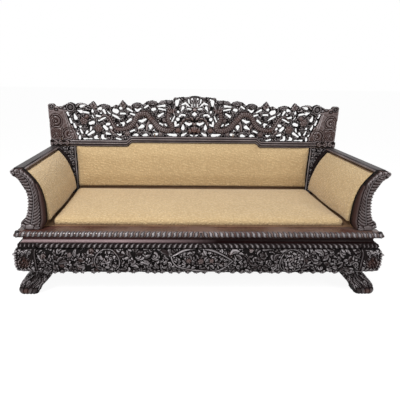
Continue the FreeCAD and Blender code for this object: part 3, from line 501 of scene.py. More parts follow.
def shading(carving, relief, times=10):
    """How high and how exposed each point is, from 0 in the cuts to 1 on the crowns, which the materials
    turn into painted shade in the cuts and a painted highlight on the crowns.
    """
    above = np.clip(0.5 + (carving.height - soften(carving.height, times)) / relief, 0, 1)
    top = np.percentile(carving.height[carving.wood > 0], 97)
    level = np.clip((carving.height - carving.ground) / (top - carving.ground), 0, 1)
    return 0.6 * above + 0.4 * level


def connected(cells):
    """The cells that hang together with the row of cells along the foot."""
    reached = np.zeros(cells.shape, bool)
    reached[:3] = cells[:3]
    while True:
        wide = np.pad(reached, 1)
        grown = (wide[1:-1, 1:-1] | wide[:-2, 1:-1] | wide[2:, 1:-1] | wide[1:-1, :-2]
                 | wide[1:-1, 2:]) & cells
        if (grown == reached).all():
            return reached
        reached = grown


def without_pinches(cells):
    """Fills one of the cells where wood meets only at a corner."""
    cells = cells.copy()
    for _ in range(3):
        rising = cells[:-1, :-1] & cells[1:, 1:] & ~cells[1:, :-1] & ~cells[:-1, 1:]
        cells[1:, :-1] |= rising
        falling = cells[1:, :-1] & cells[:-1, 1:] & ~cells[:-1, :-1] & ~cells[1:, 1:]
        cells[:-1, :-1] |= falling
    return cells


def carved_board(name, carving, face, back, place, stands_for, relief):
    """Makes a board of a carving. face gives the front surface, back its rear plane, place
    moves the flat board to where it stands, and relief sets how strongly it is shaded."""
    mesh, column, row = grid_mesh(carving.columns, carving.rows)
    x = carving.x[row, column]
    z = carving.z[row, column]
    height = carving.height[row, column]
    slope_z, slope_x = np.gradient(soften(carving.wood, 1), carving.step[1], carving.step[0])
    steep = np.maximum(slope_x ** 2 + slope_z ** 2, 0.25)[row, column]
    wood = carving.wood
    value = wood[row, column]
    move = np.clip(value / steep, -carving.cell, carving.cell)
    move = np.where(np.abs(value) < carving.cell * 1.3, move, 0.0)
    moved_x = x - move * slope_x[row, column]
    moved_z = z - move * slope_z[row, column]
    cells = (wood[:-1, :-1] + wood[1:, :-1] + wood[:-1, 1:] + wood[1:, 1:]) / 4 >= 0
    cells = connected(without_pinches(cells))
    bm = bmesh.new()
    bm.from_mesh(mesh)
    source = bm.verts.layers.int.new("source")
    rear = bm.verts.layers.int.new("rear")
    for number, vertex in enumerate(bm.verts):
        vertex[source] = number
    gone = []
    for item in bm.faces:
        spots = [vertex[source] for vertex in item.verts]
        if not cells[min(row[k] for k in spots), min(column[k] for k in spots)]:
            gone.append(item)
    bmesh.ops.delete(bm, geom=gone, context="FACES")
    depth = face(x, z, height)
    for vertex in bm.verts:
        k = vertex[source]
        if vertex.is_boundary:
            vertex.co = (moved_x[k], depth[k], moved_z[k])
        else:
            vertex.co = (x[k], depth[k], z[k])
    made = bmesh.ops.extrude_edge_only(bm, edges=[edge for edge in bm.edges if edge.is_boundary])
    for item in made["geom"]:
        if isinstance(item, bmesh.types.BMVert):
            item.co.y = back
            item[rear] = 1
    bmesh.ops.triangle_fill(bm, use_beauty=False, use_dissolve=False, normal=(0, 1, 0),
                            edges=[edge for edge in bm.edges if edge.is_boundary])
    bmesh.ops.recalc_face_normals(bm, faces=bm.faces[:])
    order = [vertex[source] for vertex in bm.verts]
    behind = np.array([vertex[rear] for vertex in bm.verts])
    out = bpy.data.meshes.new(name)
    bm.to_mesh(out)
    bm.free()
    bpy.data.meshes.remove(mesh)
    set_points(out, place(points_of(out)))
    # Painted shade in the cuts and a painted highlight on the crowns of the carving
    shade = shading(carving, relief)[row, column][order]
    keep_values(out, "painted_shade_and_highlight", np.where(behind, PAINTED_SHADE_BEHIND, shade))
    keep_values(out, "warm", carving.warm[row, column][order])
    new_piece(name, out, stands_for)


def carved_pair(name, carving, front, back, place, node, relief):
    """A board for the bed's right end, and its mirror image for the left end."""
    for side, sheet in (("_right", carving), ("_left", carving.mirrored())):
        carved_board(name + side, sheet, lambda x, z, height: front - height, back, place,
                     [node + side] if node else [], relief)


# Materials
def material(name):
    return bpy.data.materials["daybed_" + name]


def full(colour):
    return (colour[0], colour[1], colour[2], 1.0)


def toned(colour, share):
    """A colour made darker by a share under 1, or lighter by one over it."""
    return full([part * share for part in colour])


class Wiring:
    """Short words for adding and joining shader nodes."""

    def __init__(self, tree):
        self.tree = tree

    def add(self, kind, inputs=None, **values):
        """A new node. inputs are for its sockets, by name, and values for its settings."""
        node = self.tree.nodes.new("ShaderNode" + kind)
        for key, value in values.items():
            setattr(node, key, value)
        for key, value in (inputs or {}).items():
            self.feed(node.inputs[key], value)
        return node

    def join(self, out, into):
        self.tree.links.new(out, into)

    def feed(self, socket, value):
        """Joins a socket to another node's socket, or sets it to a plain value."""
        if isinstance(value, bpy.types.NodeSocket):
            self.join(value, socket)
        else:
            socket.default_value = value

    def math(self, operation, a, b=None, clamp=False):
        node = self.add("Math", operation=operation, use_clamp=clamp)
        self.feed(node.inputs[0], a)
        if b is not None:
            self.feed(node.inputs[1], b)
        return node.outputs[0]

    def times(self, a, b):
        return self.math("MULTIPLY", a, b)

    def plus(self, a, b):
        return self.math("ADD", a, b)

    def minus(self, a, b, clamp=False):
        return self.math("SUBTRACT", a, b, clamp)

    def mix(self, share, a, b):
        node = self.add("Mix", data_type="RGBA", blend_type="MIX")
        for number, value in ((0, share), (6, a), (7, b)):
            self.feed(node.inputs[number], value)
        return node.outputs[2]

    def noise(self, scale, detail):
        inputs = {"Scale": scale, "Detail": detail, "Vector": self.place()}
        return self.add("TexNoise", inputs).outputs["Fac"]

    def place(self, scale=(1, 1, 1), turn=(0, 0, 0)):
        """Where a point lies in the piece, stretched and turned."""
        spot = self.add("TexCoord").outputs["Object"]
        return self.add("Mapping", {"Vector": spot, "Scale": scale, "Rotation": turn}).outputs["Vector"]

    def ramp(self, value, *stops):
        """A grey level that changes between stops, each a place and a level."""
        node = self.add("ValToRGB")
        ramp = node.color_ramp
        for element, (spot, level) in zip(ramp.elements, stops):
            element.position = spot
            element.color = (level, level, level, 1)
        self.join(value, node.inputs[0])
        return node.outputs[0]

    def bump(self, shader, height, strength, depth):
        inputs = {"Strength": strength, "Distance": depth, "Height": height}
        self.join(self.add("Bump", inputs).outputs["Normal"], shader.inputs["Normal"])

    def camera_sees(self):
        """1 where the ray comes from the camera, straight or through a shine or a glass."""
        rays = self.add("LightPath")
        seen = self.math("MAXIMUM", rays.outputs["Is Camera Ray"], rays.outputs["Is Glossy Ray"])
        return self.math("MAXIMUM", seen, rays.outputs["Is Transmission Ray"])


def new_material(name):
    made = bpy.data.materials.new("daybed_" + name)
    made.use_nodes = True
    return Wiring(made.node_tree), made.node_tree.nodes["Principled BSDF"]


def group(name, inputs, outputs):
    """A shader group with its sockets, and the sockets that stand for them inside."""
    made = bpy.data.node_groups.new(name, "ShaderNodeTree")
    for label, kind in inputs:
        made.interface.new_socket(label, in_out="INPUT", socket_type=kind)
    for label in outputs:
        made.interface.new_socket(label, in_out="OUTPUT", socket_type="NodeSocketFloat")
    entry = made.nodes.new("NodeGroupInput").outputs
    leave = made.nodes.new("NodeGroupOutput").inputs
    return made, Wiring(made), entry, leave


def grain_group():
    """Straight wood grain: a mask of darker lines and a fine height."""
    made, w, entry, leave = group("daybed grain", [("Vector", "NodeSocketVector"),
                                                   ("Scale", "NodeSocketFloat")], ["Lines", "Height"])
    stretched = w.add("Mapping", {"Scale": (1.0, 14.0, 14.0), "Vector": entry["Vector"]}).outputs[0]
    broad, fine = [
        w.add("TexNoise", {"Detail": detail, "Vector": stretched,
                           "Scale": w.times(entry["Scale"], scale)}).outputs["Fac"]
        for scale, detail in ((6.0, 5.0), (34.0, 2.0))]
    w.join(w.ramp(broad, (0.35, 0.0), (0.65, 1.0)), leave["Lines"])
    w.join(fine, leave["Height"])
    return made


def wear_group():
    """Soft patches of wear and dust over a large piece."""
    made, w, entry, leave = group("daybed wear", [("Scale", "NodeSocketFloat")], ["Patches"])
    patches = w.add("TexNoise", {"Detail": 6.0, "Vector": w.place(), "Scale": entry["Scale"]})
    w.join(w.ramp(patches.outputs["Fac"], (0.38, 0.0), (0.66, 1.0)), leave["Patches"])
    return made


def carved_material(wear):
    """Dark waxed carving: cuts painted black as shade, brown faces, and crowns painted grey as rubbed wear
    and a painted highlight, with a soft shine.
    """
    c = colours()
    w, shader = new_material("carved")
    painted_shade_and_highlight = w.add("Attribute", attribute_name="painted_shade_and_highlight").outputs["Fac"]
    warm = w.add("Attribute", attribute_name="warm").outputs["Fac"]
    patches = w.add("Group", {"Scale": 11.0}, node_tree=wear).outputs["Patches"]
    # low brings the painted shade into the cuts, high the rubbed grey and painted highlight onto the crowns
    low = w.ramp(painted_shade_and_highlight, (0.24, 0.0), (0.50, 1.0))
    high = w.ramp(painted_shade_and_highlight, (0.56, 0.0), (0.90, 1.0))
    base = w.mix(low, full(c.painted_cut_shade), full(c.wood_dark))
    base = w.mix(w.times(high, w.plus(w.times(patches, 0.55), 0.45)), base, full(c.rubbed_wood_and_highlight))
    base = w.mix(w.times(w.times(warm, low), 0.75), base, full(c.wood_warm))
    w.join(base, shader.inputs["Base Color"])
    w.join(w.minus(0.75, w.times(high, 0.35)), shader.inputs["Roughness"])
    shader.inputs["Specular IOR Level"].default_value = 0.08
    w.join(w.times(high, 0.9), shader.inputs["Coat Weight"])
    shader.inputs["Coat Roughness"].default_value = 0.22
    w.bump(shader, w.noise(420.0, 3.0), 0.35, 0.0006)


# The painted reflection streak along the waist's left half: where it begins and is full, its
# height above the floor and half its width
STREAK_START = 0.10
STREAK_FULL = -0.45
STREAK_Z = 0.3475
STREAK_HALF = 0.0085


def waist_streak(w, base, colour, painted_reflection):
    """Painted light towards the left end: a lighter wine red, with a painted reflection streak along it."""
    spot = w.add("SeparateXYZ", {"Vector": w.place()}).outputs
    spread = w.add("MapRange", {"Value": spot["X"], "From Min": STREAK_START,
                                "From Max": STREAK_FULL}).outputs[0]
    off = w.math("ABSOLUTE", w.minus(spot["Z"], STREAK_Z))
    streak = w.minus(1.0, w.math("DIVIDE", off, STREAK_HALF), clamp=True)
    base = w.mix(w.times(spread, 0.8), base, toned(colour, 3.5))
    return w.mix(w.times(spread, streak), base, full(painted_reflection))


def polished_material(name, grain, wear, colour, rough, turn=(0, 0, 0), rubbed=None, share=0.5,
                      painted_reflection=None, shine=0.5):
    """Polished wood with its grain along turn, and perhaps rubbed patches or a painted reflection streak."""
    w, shader = new_material(name)
    shader.inputs["Specular IOR Level"].default_value = shine
    lines = w.add("Group", {"Vector": w.place(turn=turn), "Scale": 1.0}, node_tree=grain).outputs
    patches = w.add("Group", {"Scale": 4.0}, node_tree=wear).outputs["Patches"]
    base = w.mix(lines["Lines"], toned(colour, 0.45), full(colour))
    if rubbed:
        base = w.mix(w.times(patches, share), base, full(rubbed))
    # Painted light towards the left end and a painted reflection streak
    if painted_reflection:
        base = waist_streak(w, base, colour, painted_reflection)
    w.join(base, shader.inputs["Base Color"])
    w.join(w.plus(w.times(patches, 0.14), rough), shader.inputs["Roughness"])
    w.bump(shader, lines["Height"], 0.12, 0.0004)


def hardwood_material(name, grain, turn):
    """The plain wood of the hidden frame."""
    c = colours()
    w, shader = new_material(name)
    lines = w.add("Group", {"Vector": w.place(turn=turn), "Scale": 1.4}, node_tree=grain).outputs
    w.join(w.mix(lines["Lines"], toned(c.hardwood, 0.6), full(c.hardwood)), shader.inputs["Base Color"])
    shader.inputs["Roughness"].default_value = 0.62
    w.bump(shader, lines["Height"], 0.3, 0.0006)


def cloth_material():
    """Woven cloth with a small embossed pattern in wavy rows."""
    c = colours()
    w, shader = new_material("cloth")
    cells = w.add("TexVoronoi", {"Scale": 85.0, "Smoothness": 0.5, "Vector": w.place()},
                  feature="SMOOTH_F1")
    pebble = w.ramp(cells.outputs["Distance"], (0.12, 1.0), (0.66, 0.0))
    waves = w.add("TexWave", {"Scale": 26.0, "Distortion": 5.0, "Detail": 2.0, "Detail Scale": 3.0,
                              "Vector": w.place(scale=(0.3, 1, 1))},
                  wave_type="BANDS", bands_direction="DIAGONAL")
    rows = w.ramp(waves.outputs["Fac"], (0.30, 0.0), (0.70, 1.0))
    weave = w.noise(700.0, 1.0)
    wide = w.noise(6.0, 3.0)
    pattern = w.times(pebble, w.plus(w.times(rows, 0.7), 0.5))
    # Painted shade: the cloth darkens where the pattern's bump is low
    shade = w.times(w.minus(1.0, pattern, clamp=True), 0.58)
    base = w.mix(shade, full(c.cloth), full(c.cloth_shade))
    patches = w.times(w.ramp(wide, (0.4, 0.0), (0.7, 1.0)), 0.12)
    w.join(w.mix(patches, base, toned(c.cloth, 1.15)), shader.inputs["Base Color"])
    shader.inputs["Roughness"].default_value = 0.85
    shader.inputs["Sheen Weight"].default_value = 0.25
    shader.inputs["Sheen Roughness"].default_value = 0.5
    w.bump(shader, w.plus(pattern, w.times(weave, 0.22)), 0.8, 0.0030)


def jute_material():
    """Coarse webbing, woven of crossed bands."""
    c = colours()
    w, shader = new_material("jute")
    waves = [w.add("TexWave", {"Scale": 120.0, "Distortion": 1.0, "Vector": w.place()},
                   wave_type="BANDS", bands_direction=axis).outputs["Fac"] for axis in ("X", "Y")]
    woven = w.times(*waves)
    w.join(w.mix(woven, toned(c.jute, 0.5), full(c.jute)), shader.inputs["Base Color"])
    shader.inputs["Roughness"].default_value = 0.9
    w.bump(shader, woven, 0.6, 0.001)


# Which finish the frame's nodes have, by the starts of their names; the first that fits counts
FINISHES = (
    ("jute", ("squab_webbing",)),
    ("hardwood_across", ("squab_rail_left", "squab_rail_right", "seat_bearer", "back_muntin",
                         "arm_liner", "arm_bottom_rail")),
    ("hardwood", ("squab_rail", "deck_board", "corner_braces", "mitre_keys", "joint_dowels",
                  "back_board", "back_bottom_rail")),
    ("polish_across", ("waist_left", "waist_right", "platform_rail_left", "platform_rail_right",
                       "arm_outer_board")),
    ("rail", ("arm_top_rail",)),
    ("polish_up", ("arm_stile", "back_top_rail")),
    ("waist", ("waist",)),
    ("polish", ("",)))


class DAYBED_OT_materials(bpy.types.Operator):
    """Make the wood, cloth and webbing materials and dress the plain pieces"""
    bl_idname = "daybed.materials"
    bl_label = "Finishes"

    def execute(self, context):
        c = colours()
        grain = grain_group()
        wear = wear_group()
        carved_material(wear)
        along, across, up = (0, 0, 0), (0, 0, math.pi / 2), (0, math.pi / 2, 0)
        polished_material("polish", grain, wear, c.polish, 0.2, rubbed=c.worn)
        polished_material("polish_across", grain, wear, c.polish, 0.2, across, rubbed=c.worn)
        polished_material("polish_up", grain, wear, c.wood_dark, 0.4, up, shine=0.2)
        polished_material("rail", grain, wear, c.wood_dark, 0.35, across, rubbed=c.rubbed_wood_and_highlight,
                          share=0.2, shine=0.12)
        # The waist takes painted light towards its left end and a painted reflection streak
        polished_material("waist", grain, wear, c.waist, 0.3, painted_reflection=c.painted_reflection, shine=0.08)
        hardwood_material("hardwood", grain, along)
        hardwood_material("hardwood_across", grain, across)
        cloth_material()
        jute_material()
        for name, node in nodes.items():
            made = material(next(finish for finish, starts in FINISHES if name.startswith(starts)))
            if not node.material_slots:
                node.data.materials.append(made)
            for place in node.material_slots:
                place.material = made
        return {"FINISHED"}


# The crest, drawn for its right half in centimetres: from the bed's middle, and above the floor
CREST_TOP = (
    (0, 110.8), (2, 110.6), (4, 110.2), (6, 109.6), (8, 110.0), (10, 109.8), (12, 109.4), (14.6, 109.4),
    (15.4, 107.4), (16.5, 107.6), (20, 107.9), (24, 107.2), (25.5, 105.6), (27, 106.8), (30, 107.5),
    (33.5, 106.6), (36.2, 104.4), (38, 105.6), (40.5, 106.0), (43, 105.2), (44.6, 103.5), (46.8, 103.9),
    (49, 106.4), (50.3, 107.4), (51.6, 105.8), (53.2, 103.6), (55, 104.3), (56.4, 103.4), (58, 102.5),
    (60, 104.0), (63, 104.6), (66, 104.2), (68, 103.0), (69.4, 105.6), (70.5, 106.6), (72.4, 105.2),
    (74.4, 103.6), (76.5, 104.8), (79, 105.2), (81.5, 104.9), (83, 104.0), (84.6, 105.2), (86, 105.6),
    (87.6, 105.2), (90, 103.9), (92, 103.4))
CREST_OPENINGS = (
    ((88.8, 98.4, .65), (88.0, 96.3, .4)), ((84.0, 97.6, .3), (83.3, 94.8, 1.3)),
    ((87.3, 94.2, .5), (86.5, 91.6, .7)), ((84.9, 91.1, .35), (84.05, 88.6, .9)),
    ((81.5, 99.9, .3), (79.3, 99.2, 1.1)), ((79.2, 102.7, .9), (76.6, 103.6, .4)),
    ((77.2, 98.9, .6), (74.2, 98.4, .6)), ((71.4, 100.6, .4), (71.3, 99.4, .9)),
    ((71.6, 96.7, .4), (70.9, 95.3, .4)), ((73.4, 91.2, 1.0), (71.2, 92.0, 1.0)),
    ((80.4, 88.8, .8),), ((80.45, 86.8, .5), (79.45, 84.6, .6)), ((72.9, 88.4, .65), (73.6, 86.1, .3)),
    ((75.7, 85.8, .6), (76.6, 84.2, .5)), ((71.4, 85.5, .8), (75.3, 83.1, .5)),
    ((83.0, 84.5, .45), (82.5, 83.5, .5)), ((81.2, 82.3, .5), (81.5, 80.5, .75)),
    ((78.2, 80.5, .6), (72.3, 80.3, .3)), ((69.2, 82.6, .5), (70.1, 81.2, 1.1), (68.2, 80.4, .3)),
    ((67.6, 100.9, .4), (65.7, 101.4, 1.1)), ((63.6, 100.3, .8), (62.5, 98.3, .6)), ((65.5, 98.2, .6),),
    ((68.6, 96.5, .75), (64.9, 95.8, .5)), ((67.3, 93.2, .55), (64.7, 94.4, .45), (62.5, 95.3, .35)),
    ((60.8, 99.4, .3), (59.0, 97.8, .35)), ((56.2, 100.2, 1.3), (54.6, 99.6, 1.5)), ((51.6, 101.7, 1.0),),
    ((57.3, 97.1, .6), (54.6, 95.8, .7), (52.4, 94.3, .3)), ((51.8, 98.1, .6), (48.7, 98.1, .6)),
    ((46.8, 101.4, .75), (43.5, 99.7, .35)), ((44.8, 98.1, .5), (42.3, 97.3, .6)),
    ((47.2, 92.4, .6), (44.7, 94.4, .7)), ((51.7, 91.6, .4), (50.0, 91.4, .9), (50.2, 89.8, .4)),
    ((54.1, 90.1, .6),), ((61.8, 90.6, .7), (60.3, 90.9, .9)), ((63.6, 89.0, 1.0), (62.1, 87.5, 1.1)),
    ((58.95, 88.4, .9),), ((62.0, 84.3, .9), (59.6, 83.7, .5)),
    ((54.4, 83.9, .4), (53.0, 83.2, .6), (51.9, 83.9, .4)),
    ((65.0, 82.7, .8), (65.3, 81.0, .9), (62.3, 80.3, .3)), ((55.2, 80.8, .6), (51.9, 80.1, .45)),
    ((45.4, 85.8, .35), (42.6, 86.7, .6)), ((43.7, 82.6, .3), (41.0, 83.4, 1.1)),
    ((37.0, 82.8, .35), (34.2, 83.3, 1.2)), ((39.5, 88.0, .35), (36.7, 89.6, 1.2)),
    ((38.95, 93.4, .5), (37.1, 93.0, 1.0), (34.3, 94.4, .5)),
    ((41.4, 101.2, .5), (40.1, 100.1, .7), (37.7, 101.7, .35)), ((35.0, 102.2, .4), (32.7, 103.6, .6)),
    ((29.5, 101.1, .9), (28.0, 101.4, .9)), ((25.6, 103.3, .4), (21.2, 103.8, .8)),
    ((25.1, 101.7, .45), (20.5, 100.8, .5)), ((25.2, 96.6, .8), (22.0, 98.6, .5)),
    ((17.0, 95.2, .4), (17.5, 93.8, .5)), ((14.0, 96.8, .3), (15.7, 93.2, .4)), ((11.7, 94.6, 1.2),),
    ((11.5, 99.6, .8),), ((12.4, 106.5, 1.4), (12.6, 104.0, .7)), ((11.0, 108.0, .5),),
    ((8.5, 104.7, .6), (6.5, 105.6, .7), (3.7, 103.4, .35)), ((4.4, 108.0, .6), (3.8, 105.6, .4)),
    ((8.1, 102.6, 1.0), (9.2, 100.6, .4)), ((5.0, 101.9, .5), (2.7, 101.6, .5)),
    ((10.4, 96.7, .7), (9.0, 97.8, .5), (7.0, 97.4, .7)), ((0, 98.2, 1.5), (1.6, 98.2, .3)),
    ((1.9, 108.4, .7),), ((1.9, 105.0, .3), (1.9, 103.3, .3)), ((0, 105.0, .25), (0, 103.3, .25)),
    ((6.2, 92.1, .7), (3.7, 91.0, .9), (2.3, 91.7, .7)), ((8.0, 90.7, .4), (8.0, 88.4, 1.3)),
    ((13.3, 92.5, .8), (13.3, 89.9, .6), (11.1, 90.9, .5)), ((24.4, 91.6, .45), (22.5, 90.6, .5)),
    ((20.6, 91.1, .5), (19.6, 89.9, .35)), ((31.1, 89.4, 1.4), (31.1, 87.8, .5)), ((28.5, 86.9, .5),),
    ((28.2, 83.9, .9), (26.6, 84.2, .9)), ((18.8, 84.2, .4), (16.3, 83.4, 1.1), (13.3, 83.4, 1.1)),
    ((5.5, 85.0, .4), (8.2, 83.4, 1.0)), ((2.6, 83.7, .4), (0.9, 82.8, .6)))
DRAGON_BACK = (
    (67, 94), (63.8, 97), (60.5, 95.7), (58.8, 93.3), (57.3, 90.3), (55.8, 87.9), (52.4, 87.2),
    (48.6, 87.9), (45.3, 89.3), (42.8, 91.8), (41, 95.5), (38.5, 97.8), (34.8, 98.2), (33.1, 97.7),
    (30.7, 94.8), (28.1, 92.1), (25.9, 89.2), (22.6, 87.4), (18.5, 86.7), (15.8, 88), (16.3, 90.5),
    (18.3, 93.5), (18.6, 97), (17.5, 100.5))
DRAGON_WIDTHS = (.5, .7, .9, 1.2, 1.5, 1.7, 1.8, 1.75, 1.85, 1.9, 1.85, 1.8, 1.6, 1.4)
CREST_BLOCK = ((84, 101), (88.5, 99.5), (89.5, 97), (88.4, 93), (86.7, 90), (85, 87), (82.8, 84),
               (82, 79))


# The crest's relief starts this high, its foot is this far up below the step, its board has this
# much to spare round it, and its openings slant with the view by this share of their place
CREST_BASE = -0.002
CREST_FOOT = 0.796
CREST_SPARE = 0.004
VIEW_SLANT = 0.005

# The round lobe at each upper corner: its flat run, radius and middle, and where the end stops
LOBE_START, LOBE_STOP, LOBE_RADIUS, LOBE_Z = 0.987, 1.0, 0.019, 1.0255
END_X = 1.0178
END_TOP = 1.0270


def metres(points):
    """Points or rows of sizes that are drawn in centimetres."""
    return [tuple(value * CM for value in point) for point in points]


def upright_box(node):
    """A node's lowest and highest corner with the back's lean undone."""
    points = stand_up(points_of(nodes[node].data))
    return points.min(0), points.max(0)


class DAYBED_OT_crest(bpy.types.Operator):
    """Carve the pierced crest and its solid ends"""
    bl_idname = "daybed.crest"
    bl_label = "Crest"

    def execute(self, context):
        crest_board()
        crest_ends()
        crest_end_feet()
        return {"FINISHED"}


def crest_board():
    """The pierced board between the solid ends, drawn for its right half and doubled."""
    s = sizes()
    low, high = upright_box("crest_panel")
    half = high[0] + CREST_SPARE
    carving = Carving((-half, low[2] - CREST_SPARE), (half, high[2] + CREST_SPARE), s.crest_cell,
                      -s.crest_relief, CREST_BASE)
    for side in ("right", "left"):
        carving.trim(outline_edges("crest_end_" + side, stand_up))
        ends = carving.wood if side == "right" else np.maximum(ends, carving.wood)
    foot = CREST_FOOT + rail_step(carving.x)
    tops = np.array(metres(CREST_TOP))
    crown = np.interp(np.abs(carving.x), tops[:, 0], tops[:, 1])
    scallop = 0.0022 * np.abs(np.sin(carving.x * math.pi / 0.0135))
    carving.wood = np.minimum(np.minimum(carving.z - foot, crown - scallop - carving.z), -ends)
    carving.roughen(3, 0.0004)
    for opening in CREST_OPENINGS:
        rounds = metres(opening)
        carving.pierce(rounds, (VIEW_SLANT * rounds[0][0], 0.0), foot + 0.003)
    carving.roughen(4, 0.0007)
    rise = s.crest_relief * 0.6
    draw_leafage(carving, rise)
    draw_clouds(carving, rise)
    draw_flowers(carving, rise)
    draw_dragon(carving, rise)
    draw_palmette(carving, rise)
    draw_block(carving, True)
    carving.round_off(0.0055)
    carving.double()
    carved_board("crest_carving", carving, lambda x, z, height: low[1] - height, high[1] - 0.003, lean,
                 ["crest_panel"], s.crest_relief)


def crest_ends():
    """The solid ends with their scrolls and the lobe at their upper corner."""
    s = sizes()
    low, high = upright_box("crest_end_right")
    carving = Carving((low[0] - 0.003, low[2] - 0.003), (high[0] + 0.003, high[2] + 0.003),
                      s.small_cell, -s.crest_relief, CREST_BASE)
    carving.trim(outline_edges("crest_end_right", stand_up))
    across = np.maximum(np.maximum(LOBE_START - carving.x, carving.x - LOBE_STOP), 0)
    lobe = LOBE_RADIUS - np.hypot(across, carving.z - LOBE_Z)
    carving.wood = np.maximum(carving.wood, np.minimum(lobe, END_X - carving.x))
    carving.wood = np.minimum(carving.wood, np.maximum(lobe, END_TOP - carving.z))
    draw_block(carving)
    carving.round_off(0.003)
    carved_pair("crest_end_carving", carving, low[1], high[1], lean, "crest_end", s.crest_relief)


def crest_end_feet():
    """The ends' lowest scrolls, carved over the ends of the back's moulding."""
    s = sizes()
    foot = Carving((0.880, 0.7600), (1.0175, 0.7965), s.small_cell, -0.0035, 0.0015)
    foot.warm[:] = 0.45
    for x, radius, hand in ((0.902, 0.017, 1), (0.941, 0.018, -1), (0.981, 0.018, 1)):
        foot.spiral(x, 0.779, radius, 1.2, 90, 0.0060, 0.0035, hand=hand, groove=0.005, warm=0.4)
    foot.dome(1.006, 0.770, 0.010, 0.012, 0.0030, groove=0.005, warm=0.4)
    foot.round_off(0.003)
    carved_pair("crest_end_foot", foot, 0.2955, 0.300, lean, None, s.crest_relief)


def draw_leafage(carving, rise):
    """Small sprays of leaves all over the right half of the crest."""
    pick = random.Random(7)
    spots = [(column * 0.026 + pick.uniform(-0.009, 0.009), 0.80 + row * 0.024 + pick.uniform(-0.008, 0.008))
             for column in range(37) for row in range(13)]
    pick.shuffle(spots)
    for x, z in spots:
        carving.spray(x, z, pick.uniform(0, 360), pick.uniform(0.024, 0.036), rise, pick)


def draw_clouds(carving, rise):
    """Clouds and large leaves along the crest's top."""
    for x, z, wide, tall in metres((
            (62.5, 102.6, 3.0, 1.6), (40.5, 103.8, 2.6, 1.8), (29.7, 105.4, 3.4, 1.7),
            (22.5, 106.0, 2.6, 1.4), (17.8, 106.2, 1.9, 1.3), (86.2, 102.6, 2.4, 2.3),
            (56.0, 103.0, 1.2, 1.1))):
        carving.dome(x, z, wide, tall, rise * 0.9)
        carving.spiral(x, z, tall * 0.8, 1.1, 200, 0.0035, rise * 1.35, groove=0.003)
    for x, z in ((0.503, 1.018), (0.705, 1.014)):
        for turn, long in ((90, 0.052), (52, 0.036), (128, 0.036)):
            carving.leaf(x, z, turn, long, 0.0095, rise, warm=0.3)
    carving.strand(metres(((82, 102.5), (80.5, 104), (78.5, 104.6), (75.5, 103.4))),
                   [0.006, 0.008, 0.006], rise)


def draw_flowers(carving, rise):
    """Flowers of several sizes and a bunch of grapes."""
    for x, z, radius, warm in ((77.8, 93.0, 2.7, 0.45), (67.7, 88.0, 2.8, 0.5), (85.0, 80.8, 1.0, 0.6),
                               (58.5, 86.0, 1.3, 0.6), (47.5, 84.5, 2.0, 0.4), (24.0, 84.5, 1.7, 0.3),
                               (11.5, 87.0, 1.7, 0.9), (2.8, 86.8, 1.6, 0.8), (21.0, 94.0, 1.6, 0.4),
                               (75.5, 95.8, 1.5, 0.7)):
        carving.flower(x * CM, z * CM, radius * CM, 6, rise * 1.5, warm=warm, groove=0.007)
    for row in range(3):
        for column in range(4):
            carving.dome(0.755 + column * 0.011 + 0.005 * (row % 2), 0.862 + row * 0.0105, 0.0048, 0.0048,
                         rise * 1.2)


def draw_dragon(carving, rise):
    """A dragon that looks to the middle: legs and claws, fins, the scaled body and its head."""
    for points, size in ((((44.5, 92.5), (40.5, 90.2), (39.2, 86.2)), 1.0),
                         (((28.8, 95.0), (32.8, 91.4), (33.8, 86.5)), 1.0),
                         (((57.5, 92.5), (58.8, 86.5), (56.5, 84.6)), 0.8)):
        carving.strand(metres(points), np.array([0.011, 0.009, 0.006]) * size, rise * 1.5, warm=0.4)
        x, z = points[-1]
        for turn in (215, 255, 300):
            carving.leaf(x * CM, z * CM, turn, 0.024, 0.0045, rise * 1.3, groove=0.004)
    spine = smooth_line(metres(DRAGON_BACK), spacing=0.017)
    for spot, after in zip(spine[4:-2], spine[5:-1]):
        turn = math.degrees(math.atan2(after[1] - spot[1], after[0] - spot[0]))
        for side in (-100, 70):
            carving.leaf(spot[0], spot[1], turn + side, 0.028, 0.0060, rise * 1.1, warm=0.3, tilt=0.5)
    carving.strand(metres(DRAGON_BACK), np.array(DRAGON_WIDTHS) * 0.0086, rise * 1.35, pattern=scales,
                   grow=True, warm=0.35, groove=0.008)
    draw_head(carving, 0.172, 1.005, rise * 1.8)
    for x, z, wide in metres(((30.7, 94.8, 3.2), (54.0, 87.4, 3.4), (12.0, 87.0, 3.0))):
        carving.tint(x, z, wide, wide * 0.7, 0.7)


def scales(s, v, off):
    """Overlapping scales on the dragon's back, in rows that are half a scale apart."""
    pitch = 0.0140
    row = np.floor(s / pitch)
    side = v / 0.010 + 0.5 * (row % 2)
    cup = (side - np.floor(side) - 0.5) * 2
    inside = s / pitch - row
    return 0.0070 * (inside * (1 - cup ** 2) - 0.6) * np.clip(1.3 - off, 0, 1)


